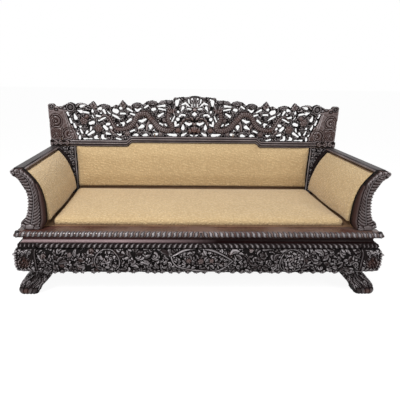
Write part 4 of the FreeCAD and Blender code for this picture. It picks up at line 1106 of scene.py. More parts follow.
def draw_head(carving, x, z, rise):
    """The dragon's head from the side: skull, snout, jaw, eye and whiskers."""
    carving.dome(x, z, 0.021, 0.018, rise, warm=0.5, grow=True, groove=0.007)
    carving.strand([(x - 0.006, z - 0.002), (x - 0.022, z), (x - 0.034, z + 0.005)],
                   [0.011, 0.009, 0.006], rise, warm=0.5, groove=0.005)
    carving.strand([(x - 0.008, z - 0.012), (x - 0.028, z - 0.012)], [0.006, 0.004], rise * 0.8,
                   warm=0.5, groove=0)
    carving.dome(x - 0.008, z + 0.007, 0.0045, 0.0045, rise * 1.3, groove=0.005)
    for turn in (35, 70, 105):
        tip = math.radians(turn)
        carving.strand([(x + 0.004, z + 0.008),
                        (x + 0.022 * math.cos(tip) + 0.004, z + 0.022 * math.sin(tip)),
                        (x + 0.044 * math.cos(tip - 0.5), z + 0.038 * math.sin(tip - 0.2))],
                       [0.0055, 0.0045, 0.002], rise * 0.9, groove=0.005, grow=True)


def draw_palmette(carving, rise):
    """The middle of the crest: a palmette over brows of leaves and a lotus."""
    foot = 1.026
    for turn in (0, 22, 44, 66, 88):
        tip = math.radians(90 - turn)
        carving.strand([(0.004 * math.cos(tip), foot + 0.004 * math.sin(tip)),
                        (0.040 * math.cos(tip), foot + 0.060 * math.sin(tip) + 0.004)],
                       [0.003, 0.0065, 0.005], rise * 1.4)
    carving.strand(metres(((13.5, 104), (15, 100), (14, 97.6))), [0.007, 0.008, 0.006], rise * 1.4)
    for x, z, turn, long in ((1.0, 94.0, 40, 4.2), (3.5, 95.0, -10, 4.0), (6.5, 94.6, -45, 3.6),
                             (2.0, 92.0, 10, 3.4), (8.6, 92.6, -75, 2.8), (0.5, 90.6, 60, 2.6)):
        carving.leaf(x * CM, z * CM, turn, long * CM, 0.0080, rise * 1.4, groove=0.007, warm=0.5,
                     tilt=0.5)
    carving.dome(0.0, 0.875, 0.022, 0.020, rise * 1.6, warm=1.0, groove=0.007)
    carving.dome(0.0, 1.012, 0.016, 0.012, rise * 1.5, warm=0.5)
    for turn in (40, 90):
        carving.leaf(0.0, 0.872, turn, 0.030, 0.010, rise * 1.8, warm=0.7, groove=0.004)


def draw_block(carving, beside=False):
    """The solid end with its scrolls. It starts on the pierced board, beside the joint."""
    inner = np.array(metres(CREST_BLOCK))[::-1]
    edge = carving.x - np.interp(carving.z, inner[:, 1], inner[:, 0])
    if beside:
        edge = np.where(carving.z > 1.0, -1.0, edge)
    rise = sizes().crest_relief * 0.55
    block = edge > 0
    level = rise * 1.1 + 0.0008 * np.sin(carving.x * 140 + 3 * np.sin(carving.z * 90))
    bead = np.sqrt(np.clip(edge / 0.006, 0, 1))
    carving.height = np.where(block, level * bead, carving.height)
    carving.warm = np.where(block, 0.45, carving.warm)
    trench = (edge > -0.005) & (edge < 0)
    carving.height = np.where(trench, carving.ground, carving.height)
    for x, z, radius, turns, start, hand in ((0.972, 0.926, 0.033, 1.368, 80, 1),
                                             (0.887, 0.832, 0.037, 1.296, 130, -1)):
        carving.ring(x, z, radius * 1.20, 0.0060, rise * 1.1, warm=0.4)
        carving.spiral(x, z, radius, turns, start, 0.0095, rise * 1.3, hand=hand, groove=0.007,
                       warm=0.4)
    carving.ring(0.974, 0.838, 0.033, 0.0045, rise * 1.1, groove=0.005, warm=0.5)
    carving.flower(0.974, 0.838, 0.024, 5, rise * 1.5, warm=0.4)
    for x, z, radius in ((0.993, 1.024, 0.017), (0.864, 1.020, 0.025)):
        carving.ring(x, z, radius, 0.0040, rise, warm=0.0)
        carving.dome(x, z, radius * 0.6, radius * 0.6, rise, warm=0.0)
    for x, z in ((0.962, 1.004), (0.930, 1.016), (0.904, 1.010)):
        carving.dome(x, z, 0.013, 0.009, rise, warm=0.0)
    for points in (((93.3, 90), (93.0, 94), (95.5, 97), (99, 96.9)),
                   ((93.2, 88.2), (97, 88.8), (101, 88.0)),
                   ((92.6, 81.2), (93.4, 84.5), (92.9, 87.2))):
        carving.strand(metres(points), [0.004, 0.0055, 0.004], rise * 1.2, warm=0.4)
    for x, z, turn in ((0.998, 0.892, 120), (0.950, 0.816, 200), (1.0, 0.809, 120), (0.856, 0.876, 60)):
        carving.leaf(x, z, turn, 0.030, 0.0075, rise * 1.2, warm=0.4)


# Where the aprons' face lies at each height, counted inwards from the platform's edge
APRON_FACE = ((0.138, 0.012), (0.150, 0.006), (0.158, 0.002), (0.185, -0.0095), (0.220, -0.0175),
              (0.256, -0.020), (0.285, -0.0145), (0.302, -0.001), (0.3098, 0.006), (0.3102, 0.006),
              (0.316, 0.003), (0.325, 0.001), (0.334, 0.0055), (0.340, 0.016), (0.345, 0.018))
APRON_BACK = 0.038

# Half the length of the front and side aprons' carving, and its lowest and highest edge
APRON_HALF = {"front": 0.917, "right": 0.267, "left": 0.267}
APRON_LOW = 0.1385
APRON_TOP = 0.3398

# The band of gadroons over aprons and knees: where its wood and its pattern start, and how high
# the pattern is
BAND_FOOT = 0.3100
BAND_START = 0.311
BAND_TALL = 0.029

# The medallions' middles, on both sides of the front apron's middle
MEDALLION_X = 0.528
MEDALLION_Z = 0.236


def draw_band(carving, lobe_height, drop, line, half_line):
    """Gadroons along the top of a carving, over a thin cut line."""
    lobe = gadroon(np.abs(carving.x), (carving.z - BAND_START) / BAND_TALL)
    carving.height = np.where(carving.z > BAND_FOOT, lobe * lobe_height - drop, carving.height)
    cut = np.abs(carving.z - line) < half_line
    carving.height = np.where(cut, carving.ground, carving.height)


def foliage(carving, low, high, seed, skip):
    """Crowded sprays of leaves with curls and flowers between, over a deep ground."""
    pick = random.Random(seed)
    relief = sizes().apron_relief
    columns = int((high[0] - low[0]) / 0.034)
    rows = int((high[1] - low[1]) / 0.0225)
    spots = []
    for row in range(rows):
        for column in range(columns):
            share = column + 0.5 * (row % 2) + 0.25 + pick.uniform(-0.3, 0.3)
            spots.append((low[0] + share * (high[0] - low[0]) / columns,
                          low[1] + (row + 0.5 + pick.uniform(-0.3, 0.3)) * (high[1] - low[1]) / rows))
    pick.shuffle(spots)
    for x, z in spots:
        turn = pick.uniform(0, 360)
        kind = pick.random()
        lift = relief * pick.uniform(0.15, 0.95)
        if any(math.hypot(x - a, z - b) < 0.030 for a, b in skip):
            continue
        if kind < 0.50:
            carving.spray(x, z, turn, pick.uniform(0.032, 0.060), lift, pick, fan=(-55, 55, 0))
        elif kind < 0.78:
            carving.leaf(x, z, turn, pick.uniform(0.040, 0.070), pick.uniform(0.009, 0.014), lift,
                         bend=pick.uniform(-0.8, 0.8), tilt=pick.uniform(-0.8, 0.8))
        elif kind < 0.92:
            carving.spiral(x, z, pick.uniform(0.013, 0.022), 1.1, turn, 0.0055, lift * 1.1,
                           hand=pick.choice((-1, 1)))
        else:
            carving.flower(x, z, pick.uniform(0.012, 0.017), 5, lift * 1.2, warm=0.4 * pick.random())
    pits(carving, pick, [(x + pick.uniform(-0.017, 0.017), z + pick.uniform(-0.010, 0.010))
                         for x, z in spots[::2]])


def pits(carving, pick, places):
    """Deep slots between the leaves."""
    for x, z in places:
        part = carving.window((x - 0.02, z - 0.02), (x + 0.02, z + 0.02))
        turn = pick.uniform(0, math.pi)
        across, up = carving.x[part] - x, carving.z[part] - z
        along = (across * math.cos(turn) + up * math.sin(turn)) / pick.uniform(0.007, 0.015)
        aside = (up * math.cos(turn) - across * math.sin(turn)) / pick.uniform(0.003, 0.006)
        carving.height[part] = np.where(along ** 2 + aside ** 2 < 1, carving.ground, carving.height[part])


def ragged(carving, half, seed):
    """Cuts the lower edge to uneven pointed leaf tips."""
    pick = random.Random(seed)
    places = [-half - 0.02]
    levels = [0.156]
    while places[-1] < half + 0.02:
        rise = places[-1] + pick.uniform(0.012, 0.060)
        tip = rise + pick.uniform(0.009, 0.018)
        places += [rise, tip, tip + pick.uniform(0.009, 0.018)]
        levels += [pick.uniform(0.148, 0.153), pick.uniform(0.1390, 0.1430), pick.uniform(0.150, 0.158)]
    carving.wood = carving.z - np.interp(carving.x, places, levels)
    for x, z in zip(places[2::3], levels[2::3]):
        for turn in (-118, -62, -90):
            carving.leaf(x, z + 0.032, turn, 0.034, 0.009, sizes().apron_relief * 0.75, groove=0.008,
                         tilt=pick.uniform(-0.3, 0.3))


def draw_medallion(carving, x, z):
    """A ring that hangs below the apron's edge, filled with leaves and a flower."""
    relief = sizes().apron_relief
    pick = random.Random(int(x * 100) + 90)
    carving.ring(x, z, 0.071, 0.0036, relief * 0.35)
    for number in range(26):
        spot = math.radians(number * 83 + pick.uniform(-9, 9))
        away = pick.uniform(0.004, 0.052)
        carving.leaf(x + away * math.cos(spot), z + away * math.sin(spot), pick.uniform(0, 360),
                     pick.uniform(0.024, 0.040), pick.uniform(0.007, 0.011),
                     relief * pick.uniform(0.4, 0.9), tilt=pick.uniform(-0.8, 0.8))
    carving.flower(x - 0.006, z + 0.014, 0.015, 5, relief, warm=0.2, turn=0.4)
    pits(carving, pick, [(x + pick.uniform(-0.045, 0.045), z + pick.uniform(-0.045, 0.045))
                         for _ in range(9)])
    carving.dome(x, z - 0.036, 0.015, 0.010, relief * 0.9)


def draw_cartouche(carving):
    """The fan in the apron's middle: sprays and flowers between an arched rim and a sill."""
    relief = sizes().apron_relief
    rim = ((-0.166, 0.270), (-0.090, 0.302), (0.0, 0.312), (0.100, 0.292), (0.186, 0.245))
    sill = ((-0.166, 0.270), (-0.150, 0.228), (-0.114, 0.199), (0.0, 0.172), (0.105, 0.173),
            (0.186, 0.245))
    pick = random.Random(21)
    for sign in (-1, 1):
        for number in range(5):
            x = sign * (0.030 + number * 0.026)
            carving.spray(x, 0.236 + 0.012 * (number % 2), 90 - sign * 60, 0.046 - 0.003 * number,
                          relief * 0.8, pick)
            carving.leaf(x, 0.216, -90 + sign * (30 + number * 9), 0.040, 0.011, relief * 0.8,
                         tilt=0.6 * sign)
        carving.flower(sign * 0.066, 0.244, 0.015, 5, relief, warm=0.7)
    pits(carving, pick, [(pick.uniform(-0.15, 0.15), pick.uniform(0.20, 0.285)) for _ in range(26)])
    carving.flower(0.004, 0.240, 0.017, 6, relief, warm=0.5)
    for points in (rim, sill):
        carving.strand(points, [0.0042, 0.0056, 0.0056, 0.0042], relief * 0.65)


class DAYBED_OT_aprons(bpy.types.Operator):
    """Carve the front and side aprons"""
    bl_idname = "daybed.aprons"
    bl_label = "Aprons"

    def execute(self, context):
        s = sizes()
        heights, insets = zip(*APRON_FACE)
        for side, turn, seed in (("front", 0.0, 11), ("right", 90.0, 5), ("left", 270.0, 6)):
            back_turn = np.array(Matrix.Rotation(math.radians(turn), 3, "Z"))
            half = APRON_HALF[side]
            edge = EDGE_Y if side == "front" else EDGE_X
            carving = Carving((-half, APRON_LOW), (half, APRON_TOP), s.carving_cell, -s.apron_relief,
                              -s.apron_relief * 0.4, s.apron_relief)
            medallions = [(sign * MEDALLION_X, MEDALLION_Z) for sign in (-1, 1)] if side == "front" else []
            foliage(carving, (-half, 0.160), (half, 0.313), seed, medallions)
            ragged(carving, half, seed)
            for x, z in medallions:
                hang = 0.084 - np.hypot(carving.x - x, carving.z - z + 0.004)
                carving.wood = np.maximum(carving.wood, hang)
                draw_medallion(carving, x, z)
            if side == "front":
                draw_cartouche(carving)
            carving.round_off(0.004)
            draw_band(carving, 0.0100, 0.006, 0.3095, 0.0012)
            carving.height = np.minimum(carving.height, 0.0045)
            carved_board("apron_carving_" + side, carving,
                         lambda x, z, height: np.interp(z, heights, insets) - height - edge,
                         APRON_BACK - edge, lambda points: points @ back_turn.T, ["apron_" + side], 0.012)
        return {"FINISHED"}


def gadroon(along, share):
    """Slanting hooked strokes along an edge, as a height from 0 to 1."""
    wave = along / sizes().gadroon_pitch + 1.1 * share + 0.18 * np.sin(share * 2 * math.pi)
    saw = (wave - np.floor(wave)) / 0.82
    lobe = np.sin(np.clip(saw, 0, 1) * math.pi) ** 0.6
    inner = 0.35 + 0.65 * np.abs(np.cos(saw * 2 * math.pi)) ** 0.6
    return lobe * inner * np.sqrt(np.clip(np.sin(np.clip(share, 0, 1) * math.pi), 0, 1))


# The legs: height, inset of the side and of the front, width, depth and rounding of each row
LEG_ROWS = (
    (0.340, 0.018, 0.018, 0.100, 0.100, 0.013), (0.326, 0.003, 0.003, 0.115, 0.115, 0.018),
    (0.312, 0.006, 0.006, 0.112, 0.112, 0.022), (0.300, -0.007, -0.009, 0.125, 0.127, 0.028),
    (0.283, -0.014, -0.018, 0.132, 0.136, 0.032), (0.250, -0.016, -0.020, 0.134, 0.138, 0.032),
    (0.215, -0.017, -0.020, 0.135, 0.138, 0.032), (0.190, -0.013, -0.018, 0.132, 0.136, 0.032),
    (0.178, -0.008, -0.013, 0.128, 0.132, 0.032), (0.169, 0.003, -0.002, 0.121, 0.126, 0.033),
    (0.161, 0.016, 0.014, 0.122, 0.120, 0.034), (0.152, 0.030, 0.030, 0.128, 0.122, 0.033),
    (0.140, 0.036, 0.042, 0.134, 0.124, 0.032), (0.122, 0.034, 0.043, 0.137, 0.124, 0.030),
    (0.102, 0.018, 0.034, 0.141, 0.122, 0.028), (0.082, -0.001, 0.022, 0.142, 0.116, 0.026),
    (0.062, -0.017, 0.013, 0.137, 0.112, 0.024), (0.042, -0.024, 0.009, 0.126, 0.108, 0.022),
    (0.024, -0.025, 0.008, 0.115, 0.106, 0.020), (0.010, -0.022, 0.010, 0.106, 0.104, 0.020),
    (0.0, -0.015, 0.015, 0.096, 0.098, 0.018))

# The width of a carved face, where on the way round a leg its outer corner and the start of its
# outer faces lie, counted in faces, and how far out its carving may stand
LEG_FACE = 0.140
LEG_CORNER = 0.86
LEG_START = 3.72
LEG_X = 1.0625
LEG_Y = 0.4125

# Below this height the legs' inner faces are painted dark as shade
ANKLE_Z = 0.17


def rounded_square(u, rounding):
    """Points and normals round a unit square; u runs once round from the front's left end."""
    turn = (u * 4) % 4
    side = np.floor(turn)
    share = turn - side
    flat = 0.72
    along = np.clip(share / flat, 0, 1) * 2 - 1
    bend = np.clip((share - flat) / (1 - flat), 0, 1) * math.pi / 2
    reach = 1 - rounding
    x = along * reach + np.where(share > flat, rounding * np.sin(bend), 0)
    y = -reach - rounding * np.cos(bend)
    nx, ny = np.sin(bend), -np.cos(bend)
    angle = side * math.pi / 2
    cosine, sine = np.cos(angle), np.sin(angle)
    return (x * cosine - y * sine, x * sine + y * cosine, nx * cosine - ny * sine,
            nx * sine + ny * cosine)


def smooth_rows(heights, values, z):
    """A smooth curve through the rows' values."""
    line = smooth_line(list(zip(heights, values)), spacing=0.002)
    order = np.argsort(line[:, 0])
    return np.interp(z, line[order, 0], line[order, 1])


def draw_leg():
    """The carving of one outer face, counted from the leg's outer corner."""
    carving = Carving((0.0, 0.0), (0.150, 0.3395), 0.0022, -0.0045, -0.002)
    carving.height[:] = -0.003
    pick = random.Random(9)
    draw_knee(carving, pick)
    draw_paw(carving, pick)
    draw_band(carving, 0.0075, 0.0045, 0.309, 0.0025)
    return carving


def draw_knee(carving, pick):
    """Feathery leaves in rings, slanting strokes over them, curls above, leaf tips below and
    bosses along the corner."""
    for ring, (reach, size, turns) in enumerate(((0.082, 0.040, 17), (0.060, 0.036, 13))):
        for number in range(turns):
            turn = 360 / turns * (number + 0.5 * ring) + pick.uniform(-11, 11)
            x = 0.064 + reach * math.cos(math.radians(turn))
            z = 0.232 + reach * 0.85 * math.sin(math.radians(turn))
            if 0.160 < z < 0.300:
                carving.leaf(x, z, turn + pick.uniform(5, 55), size * pick.uniform(0.8, 1.2), 0.0078,
                             pick.uniform(0.003, 0.008), bend=0.6, tilt=pick.uniform(-0.7, 0.7))
    for _ in range(70):
        x, z = pick.uniform(0.014, 0.108), pick.uniform(0.192, 0.272)
        carving.leaf(x, z, 48 + pick.uniform(-14, 14), pick.uniform(0.018, 0.030), 0.0044,
                     pick.uniform(0.001, 0.006), groove=0.004, tilt=pick.uniform(-0.6, 0.6))
    carving.tint(0.056, 0.230, 0.062, 0.042, 0.75)
    for number, x in enumerate((0.016, 0.046, 0.076, 0.106)):
        carving.spiral(x, 0.294 - 0.006 * (number % 2), 0.0150, 1.1, 100 + 40 * number, 0.0055, 0.0070,
                       hand=-1)
        carving.leaf(x + 0.010, 0.196, -90 + 22 * (number - 1), 0.038, 0.0110, 0.0075, tilt=0.5)
        carving.leaf(x - 0.004, 0.190, -90 + pick.uniform(-20, 20), 0.030, 0.0085, 0.0050, tilt=-0.5)
    for z, up, proud in ((0.180, 0.0085, 0.0110), (0.199, 0.0080, 0.0090), (0.217, 0.0075, 0.0105),
                         (0.236, 0.0085, 0.0080), (0.253, 0.0070, 0.0100), (0.268, 0.0060, 0.0070),
                         (0.283, 0.0050, 0.0170), (0.297, 0.0070, 0.0090)):
        carving.dome(0.0, z, 0.012, up, proud)
    carving.strand([(0.134, 0.165), (0.136, 0.24), (0.134, 0.306)], 0.0045, 0.0030, groove=0.008)


def draw_paw(carving, pick):
    """Fur in rows down the ankle, and the toes."""
    for row in range(6):
        for column in range(7):
            x = column * 0.021 + pick.uniform(-0.006, 0.006)
            z = 0.152 - row * 0.017 + pick.uniform(-0.004, 0.004)
            carving.leaf(x, z, -90 + pick.uniform(-40, 40), 0.036, 0.0095, pick.uniform(0.003, 0.0075),
                         groove=0.003, tilt=pick.uniform(-0.6, 0.6))
    for x, high in ((0.012, 0.0060), (0.046, 0.0050), (0.080, 0.0055), (0.112, 0.0045)):
        carving.dome(x, 0.022, 0.0185, 0.026, high, groove=0.004)
    carving.tint(0.046, 0.024, 0.040, 0.020, 0.7)


class DAYBED_OT_legs(bpy.types.Operator):
    """Carve the four legs with their leafy knees and paws"""
    bl_idname = "daybed.legs"
    bl_label = "Legs"

    def execute(self, context):
        around, tall = 208, 140
        mesh, column, row = grid_mesh(around, tall)
        rows = np.array(LEG_ROWS)[::-1]
        z = rows[0][0] + (rows[-1][0] - rows[0][0]) * row / tall
        side_inset, front_inset, width, depth, rounding = [
            smooth_rows(rows[:, 0], rows[:, k], z) for k in range(1, 6)]
        turn = column / around * 4
        px, py, nx, ny = rounded_square(column / around, rounding / (width / 2))
        outer = (turn < LEG_CORNER + 1) | (turn > LEG_START)
        away = np.where(turn > LEG_START, 4 + LEG_CORNER - turn, np.abs(turn - LEG_CORNER)) * LEG_FACE
        sheet = draw_leg()
        c = np.clip(np.rint(away / sheet.step[0]).astype(int), 0, sheet.columns)
        r = np.clip(np.rint(z / sheet.step[1]).astype(int), 0, sheet.rows)
        knife_marks = 0.0012 * np.sin(turn * 14 + z * 90) - 0.002
        rise = np.where(outer, sheet.height[r, c], knife_marks) * np.clip((APRON_TOP - z) / 0.003, 0, 1)
        rise = np.where(z < 0.003, np.minimum(rise, 0.0), rise)
        x = EDGE_X - side_inset - width / 2 + px * width / 2 + nx * rise
        y = -EDGE_Y + front_inset + depth / 2 + py * depth / 2 + ny * rise
        set_points(mesh, np.stack([np.minimum(x, LEG_X), np.maximum(y, -LEG_Y), z], 1))
        # Painted shade in the cuts and a painted highlight on the crowns of the carved faces; the plain
        # inner and rear faces darker, and below ANKLE_Z painted dark as shade
        shade = shading(sheet, 0.007, 8)[r, c]
        keep_values(mesh, "painted_shade_and_highlight", np.where(outer, shade, np.where(z < ANKLE_Z, 0.20, 0.38)))
        keep_values(mesh, "warm", np.where(outer, sheet.warm[r, c], 0.1))
        for end, flip_y in (("front", 1), ("rear", -1)):
            for side, flip_x in (("_right", 1), ("_left", -1)):
                bm = bmesh.new()
                bm.from_mesh(mesh)
                bmesh.ops.scale(bm, vec=(flip_x, flip_y, 1), verts=bm.verts[:])
                closed_up(bm)
                made = bpy.data.meshes.new("leg_" + end + side)
                bm.to_mesh(made)
                bm.free()
                new_piece("leg_carving_" + end + side, made, ["leg_" + end + side])
        bpy.data.meshes.remove(mesh)
        return {"FINISHED"}


# The arm facings, drawn for the right arm: across and up in metres
FACING_VEIN = ((0.956, 0.424), (0.947, 0.434), (0.927, 0.510), (0.914, 0.584), (0.914, 0.635),
               (0.924, 0.685), (0.940, 0.716), (0.971, 0.733), (1.009, 0.740))
FACING_OUTER = ((0.985, 0.410), (0.990, 0.441), (0.978, 0.464), (0.958, 0.525), (0.948, 0.584),
                (0.949, 0.627), (0.965, 0.677), (0.993, 0.716), (1.015, 0.743))
FACING_INNER = ((0.900, 0.422), (0.884, 0.465), (0.879, 0.533), (0.880, 0.584), (0.882, 0.635),
                (0.894, 0.685), (0.905, 0.727), (0.931, 0.752), (0.975, 0.757))
FACING_FRONT = -0.349
FACING_REAR = -0.305
FACING_DEEP = 0.026

# How many barbs the feather has, how far they climb from vein to edge, and how far the strokes
# may stand out past the facing
BARBS = 20
BARB_CLIMB = 0.085
BARB_OVERHANG = 0.0022


def along_line(points, share):
    """The point at a share of a line's length."""
    line = smooth_line(points)
    run = run_lengths(line)
    place = min(max(share, 0.0), 1.0) * run[-1]
    return (float(np.interp(place, run, line[:, 0])), float(np.interp(place, run, line[:, 1])))


def draw_facing(carving):
    """A long feather whose vein follows the facing's bow; its inner side is rounded."""
    inner = np.array([(x + 0.002, z) for x, z in FACING_INNER])
    near = np.interp(carving.z, inner[:, 1], inner[:, 0]) - carving.x
    slope = np.clip(near / 0.030, 0, 1)
    carving.height = np.where(near > 0, -0.004 - 0.022 * slope ** 1.8, -0.005)
    carving.warm = np.where(near > 0, 0.40, 0.12)
    for number in range(BARBS + 2):
        start = (number - 2) / BARBS
        foot = along_line(FACING_VEIN, start)
        for line, tilt, shift, grow in ((FACING_OUTER, 0.6, 0.0, number > 2),
                                        (FACING_INNER, -0.6, 0.010, False)):
            x, z = along_line(line, start + BARB_CLIMB)
            tip = (x + shift, z)
            middle = ((foot[0] + tip[0]) / 2, (foot[1] + tip[1]) / 2 - 0.004)
            carving.strand([foot, middle, tip], [0.0035, 0.0080, 0.0090, 0.0070, 0.0025], 0.0056,
                           stand=0.10, tilt=tilt, groove=0.005, grow=grow, warm=0.22)
    carving.strand(FACING_VEIN, [0.0030, 0.0038, 0.0038, 0.0030], 0.0060, groove=0.004, warm=0.1)
    carving.spiral(1.003, 0.742, 0.0150, 1.1, 90, 0.0050, 0.0095, hand=-1, groove=0.005, grow=True)
    carving.dome(0.957, 0.426, 0.030, 0.017, 0.0100, warm=0.2)
    carving.spiral(0.990, 0.430, 0.0150, 1.1, 0, 0.0050, 0.0090, hand=1, groove=0.005)
    for turn in (150, 185, 210):
        carving.leaf(0.930, 0.424, turn, 0.034, 0.008, 0.0080, groove=0.005)
    drop = np.where(near > 0, 1.0, bulge(1 - np.clip(carving.wood / 0.004, 0, 1)))
    carving.height = carving.ground + (carving.height - carving.ground) * drop


class DAYBED_OT_arms(bpy.types.Operator):
    """Carve the arm facings with their long feathers, and the posts behind the arms"""
    bl_idname = "daybed.arms"
    bl_label = "Arm facings and posts"

    def execute(self, context):
        arm_facings()
        back_posts()
        return {"FINISHED"}


def arm_facings():
    edges = outline_edges("arm_facing_right", as_drawn)
    low = (edges[:, [0, 2]].min() - 0.003, edges[:, [1, 3]].min() - 0.003)
    high = (edges[:, [0, 2]].max() + 0.003, edges[:, [1, 3]].max() + 0.003)
    carving = Carving(low, high, sizes().small_cell, -FACING_DEEP, -0.004)
    carving.trim(edges, 0.05)
    shape = carving.wood.copy()
    draw_facing(carving)
    carving.wood = np.minimum(carving.wood, shape + BARB_OVERHANG)
    carving.roughen(12, 0.0003)
    carved_pair("arm_facing_carving", carving, FACING_FRONT, FACING_REAR, as_drawn, "arm_facing", 0.022)


def back_posts():
    """Crowded leaves down the posts, with a bead along their inner edge."""
    low, high = upright_box("back_post_right")
    carving = Carving((low[0], low[2]), (high[0], high[2] - 0.001), sizes().small_cell, -0.009, -0.003)
    pick = random.Random(31)
    for row in range(14):
        for column in range(7):
            carving.spray(low[0] + 0.014 + column * 0.026, low[2] + 0.012 + row * 0.026,
                          pick.uniform(0, 360), 0.034, 0.0045, pick)
    bead = low[0] + 0.006
    carving.strand([(bead, low[2]), (bead, high[2])], 0.006, 0.005)
    carved_pair("back_post_carving", carving, low[1], high[1], lean, "back_post", 0.009)


# Edges
def swept_strip(name, path, normals, front, depth, relief=None, place=as_drawn):
    """A closed strip along a path. front gives the points (outwards, upwards) of its shown
    side, depth how far it reaches into the wood behind, relief the height of its pattern."""
    profile = np.array(list(front) + [(front[-1][0] - depth, front[-1][1]),
                                      (front[0][0] - depth, front[0][1]), front[0]])
    shown = len(front)
    mesh, column, row = grid_mesh(len(path) - 1, len(profile) - 1)
    path = np.array(path)
    normals = np.array(normals)
    slope = np.gradient(profile[:shown], axis=0)
    face = np.stack([slope[:, 1], -slope[:, 0]], 1)
    face /= np.linalg.norm(face, axis=1)[:, None]
    face = np.vstack([face, np.zeros((3, 2))])
    # The pattern's raised parts take a painted highlight and its cuts painted shade
    if relief:
        share = np.clip(row / (shown - 1), 0, 1)
        rise = np.where(row < shown, relief(run_lengths(path)[column], share), 0)
        shade = np.clip(0.50 + 0.40 * rise / max(rise.max(), 1e-6), 0, 1)
    else:
        rise = np.zeros(len(row))
        shade = np.full(len(row), PLAIN_SHADE)
    out = profile[row, 0] + face[row, 0] * rise
    points = path[column] + normals[column] * out[:, None]
    points[:, 2] += profile[row, 1] + face[row, 1] * rise
    set_points(mesh, place(points))
    # Painted shade on the strip's hidden sides
    keep_values(mesh, "painted_shade_and_highlight", np.where(row < shown, shade, 0.2))
    keep_values(mesh, "warm", np.full(len(row), 0.0 if relief else 0.4))
    bm = bmesh.new()
    bm.from_mesh(mesh)
    closed_up(bm)
    bm.to_mesh(mesh)
    bm.free()
    new_piece(name, mesh)


def ring_path(half_x, half_y, spacing):
    """Points round a rectangle and the outward direction at each, mitred at the corners."""
    corners = [(-half_x, -half_y), (half_x, -half_y), (half_x, half_y), (-half_x, half_y)]
    outs = [(0.0, -1.0), (1.0, 0.0), (0.0, 1.0), (-1.0, 0.0)]
    path = []
    normals = []
    for k in range(4):
        start, end = np.array(corners[k]), np.array(corners[(k + 1) % 4])
        count = int(round(np.linalg.norm(end - start) / spacing))
        for number in range(count):
            normal = np.array(outs[k])
            if number == 0:
                normal = normal + outs[k - 1]
            path.append((*(start + (end - start) * number / count), 0.0))
            normals.append((*normal, 0.0))
    return path + path[:1], normals + normals[:1]


def half_round(radius, steps=8):
    """The shown side of a half-round bead, from its foot to its top."""
    turns = np.radians(np.linspace(-88, 88, steps + 1))
    return [(radius * math.cos(turn), radius * math.sin(turn)) for turn in turns]


def from_middle(along):
    """How far a place on the way round the platform lies from its side's middle."""
    ends = np.cumsum([0.0, 2 * EDGE_X, 2 * EDGE_Y, 2 * EDGE_X, 2 * EDGE_Y])
    side = np.clip(np.searchsorted(ends, along, "right") - 1, 0, 3)
    return np.abs(along - (ends[side] + ends[side + 1]) / 2)


class DAYBED_OT_edges(bpy.types.Operator):
    """Gadroon the platform's edge, reed the back's moulding and bead the arm rails"""
    bl_idname = "daybed.edges"
    bl_label = "Edges and mouldings"

    def execute(self, context):
        top, drop, roll = 0.411, 0.023, 0.026
        turns = [math.radians(82 - step * 9) for step in range(10)]
        front = [(-roll * (1 - math.cos(turn)), top - drop * (1 - math.sin(turn))) for turn in turns]
        front += [(-0.001, 0.386), (-0.004, 0.382), (-0.008, 0.378)]
        path, normals = ring_path(EDGE_X, EDGE_Y, 0.0032)
        swept_strip("platform_gadroons", path, normals, front[::-1], 0.006,
                    lambda along, share: 0.0030 * gadroon(from_middle(along), share) - 0.0006)
        for name, y, level, radius in (("upper", 0.3085, 0.7905, 0.0050), ("lower", 0.3085, 0.7600, 0.0046),
                                       ("middle", 0.3012, 0.7752, 0.0038)):
            path = [(x, y, level + rail_step(x)) for x in np.linspace(-1.017, 1.017, 320)]
            swept_strip("back_rail_bead_" + name, path, [(0, -1, 0)] * len(path), half_round(radius),
                        0.004, place=lean)
        for side, sign in (("right", 1), ("left", -1)):
            low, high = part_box("arm_top_rail_" + side)
            edge = low.x if sign > 0 else high.x
            path = [(edge, y, high.z - 0.012) for y in np.linspace(low.y + 0.004, high.y - 0.010, 60)]
            swept_strip("arm_rail_bead_" + side, path, [(-sign, 0, 0)] * len(path), half_round(0.0055),
                        0.004)
        return {"FINISHED"}


# Cushions
CLOTH_FRAMES = 20


def cushion(name, node, body, hold, folds=None):
    """A cushion: its solid remeshed, puffed by air pressure as cloth, held where it rests.
    hold says how far each point may swell, and folds how high the puckers stand there."""
    mesh = nodes[node].data.copy()
    mesh.materials.clear()
    bm = bmesh.new()
    bm.from_mesh(mesh)
    bmesh.ops.remove_doubles(bm, verts=bm.verts[:], dist=SAME_POINT)
    bm.to_mesh(mesh)
    bm.free()
    piece = bpy.data.objects.new(name, mesh)
    bpy.context.scene.collection.objects.link(piece)
    remesh = piece.modifiers.new("Even faces", "REMESH")
    remesh.mode = "VOXEL"
    remesh.voxel_size = sizes().cushion_cell
    apply_modifiers(piece)
    plain = points_of(piece.data)
    puff_up(piece)
    move = points_of(piece.data) - plain
    size = np.linalg.norm(move, axis=1)
    cap = np.maximum(hold(plain), 1e-6)
    move *= (cap * np.tanh(size / cap) / np.maximum(size, 1e-9))[:, None]
    set_points(piece.data, plain + move)
    rounder = piece.modifiers.new("Smooth cloth", "SUBSURF")
    rounder.levels = 1
    rounder.render_levels = 1
    apply_modifiers(piece)
    if folds:
        points = points_of(piece.data)
        normals = np.empty(points.size)
        piece.data.vertices.foreach_get("normal", normals)
        set_points(piece.data, points + normals.reshape(-1, 3) * folds(points)[:, None])
    piece.data.polygons.foreach_set("use_smooth", [True] * len(piece.data.polygons))
    piece.data.materials.append(material("cloth"))
    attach(piece, body)
    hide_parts(node)


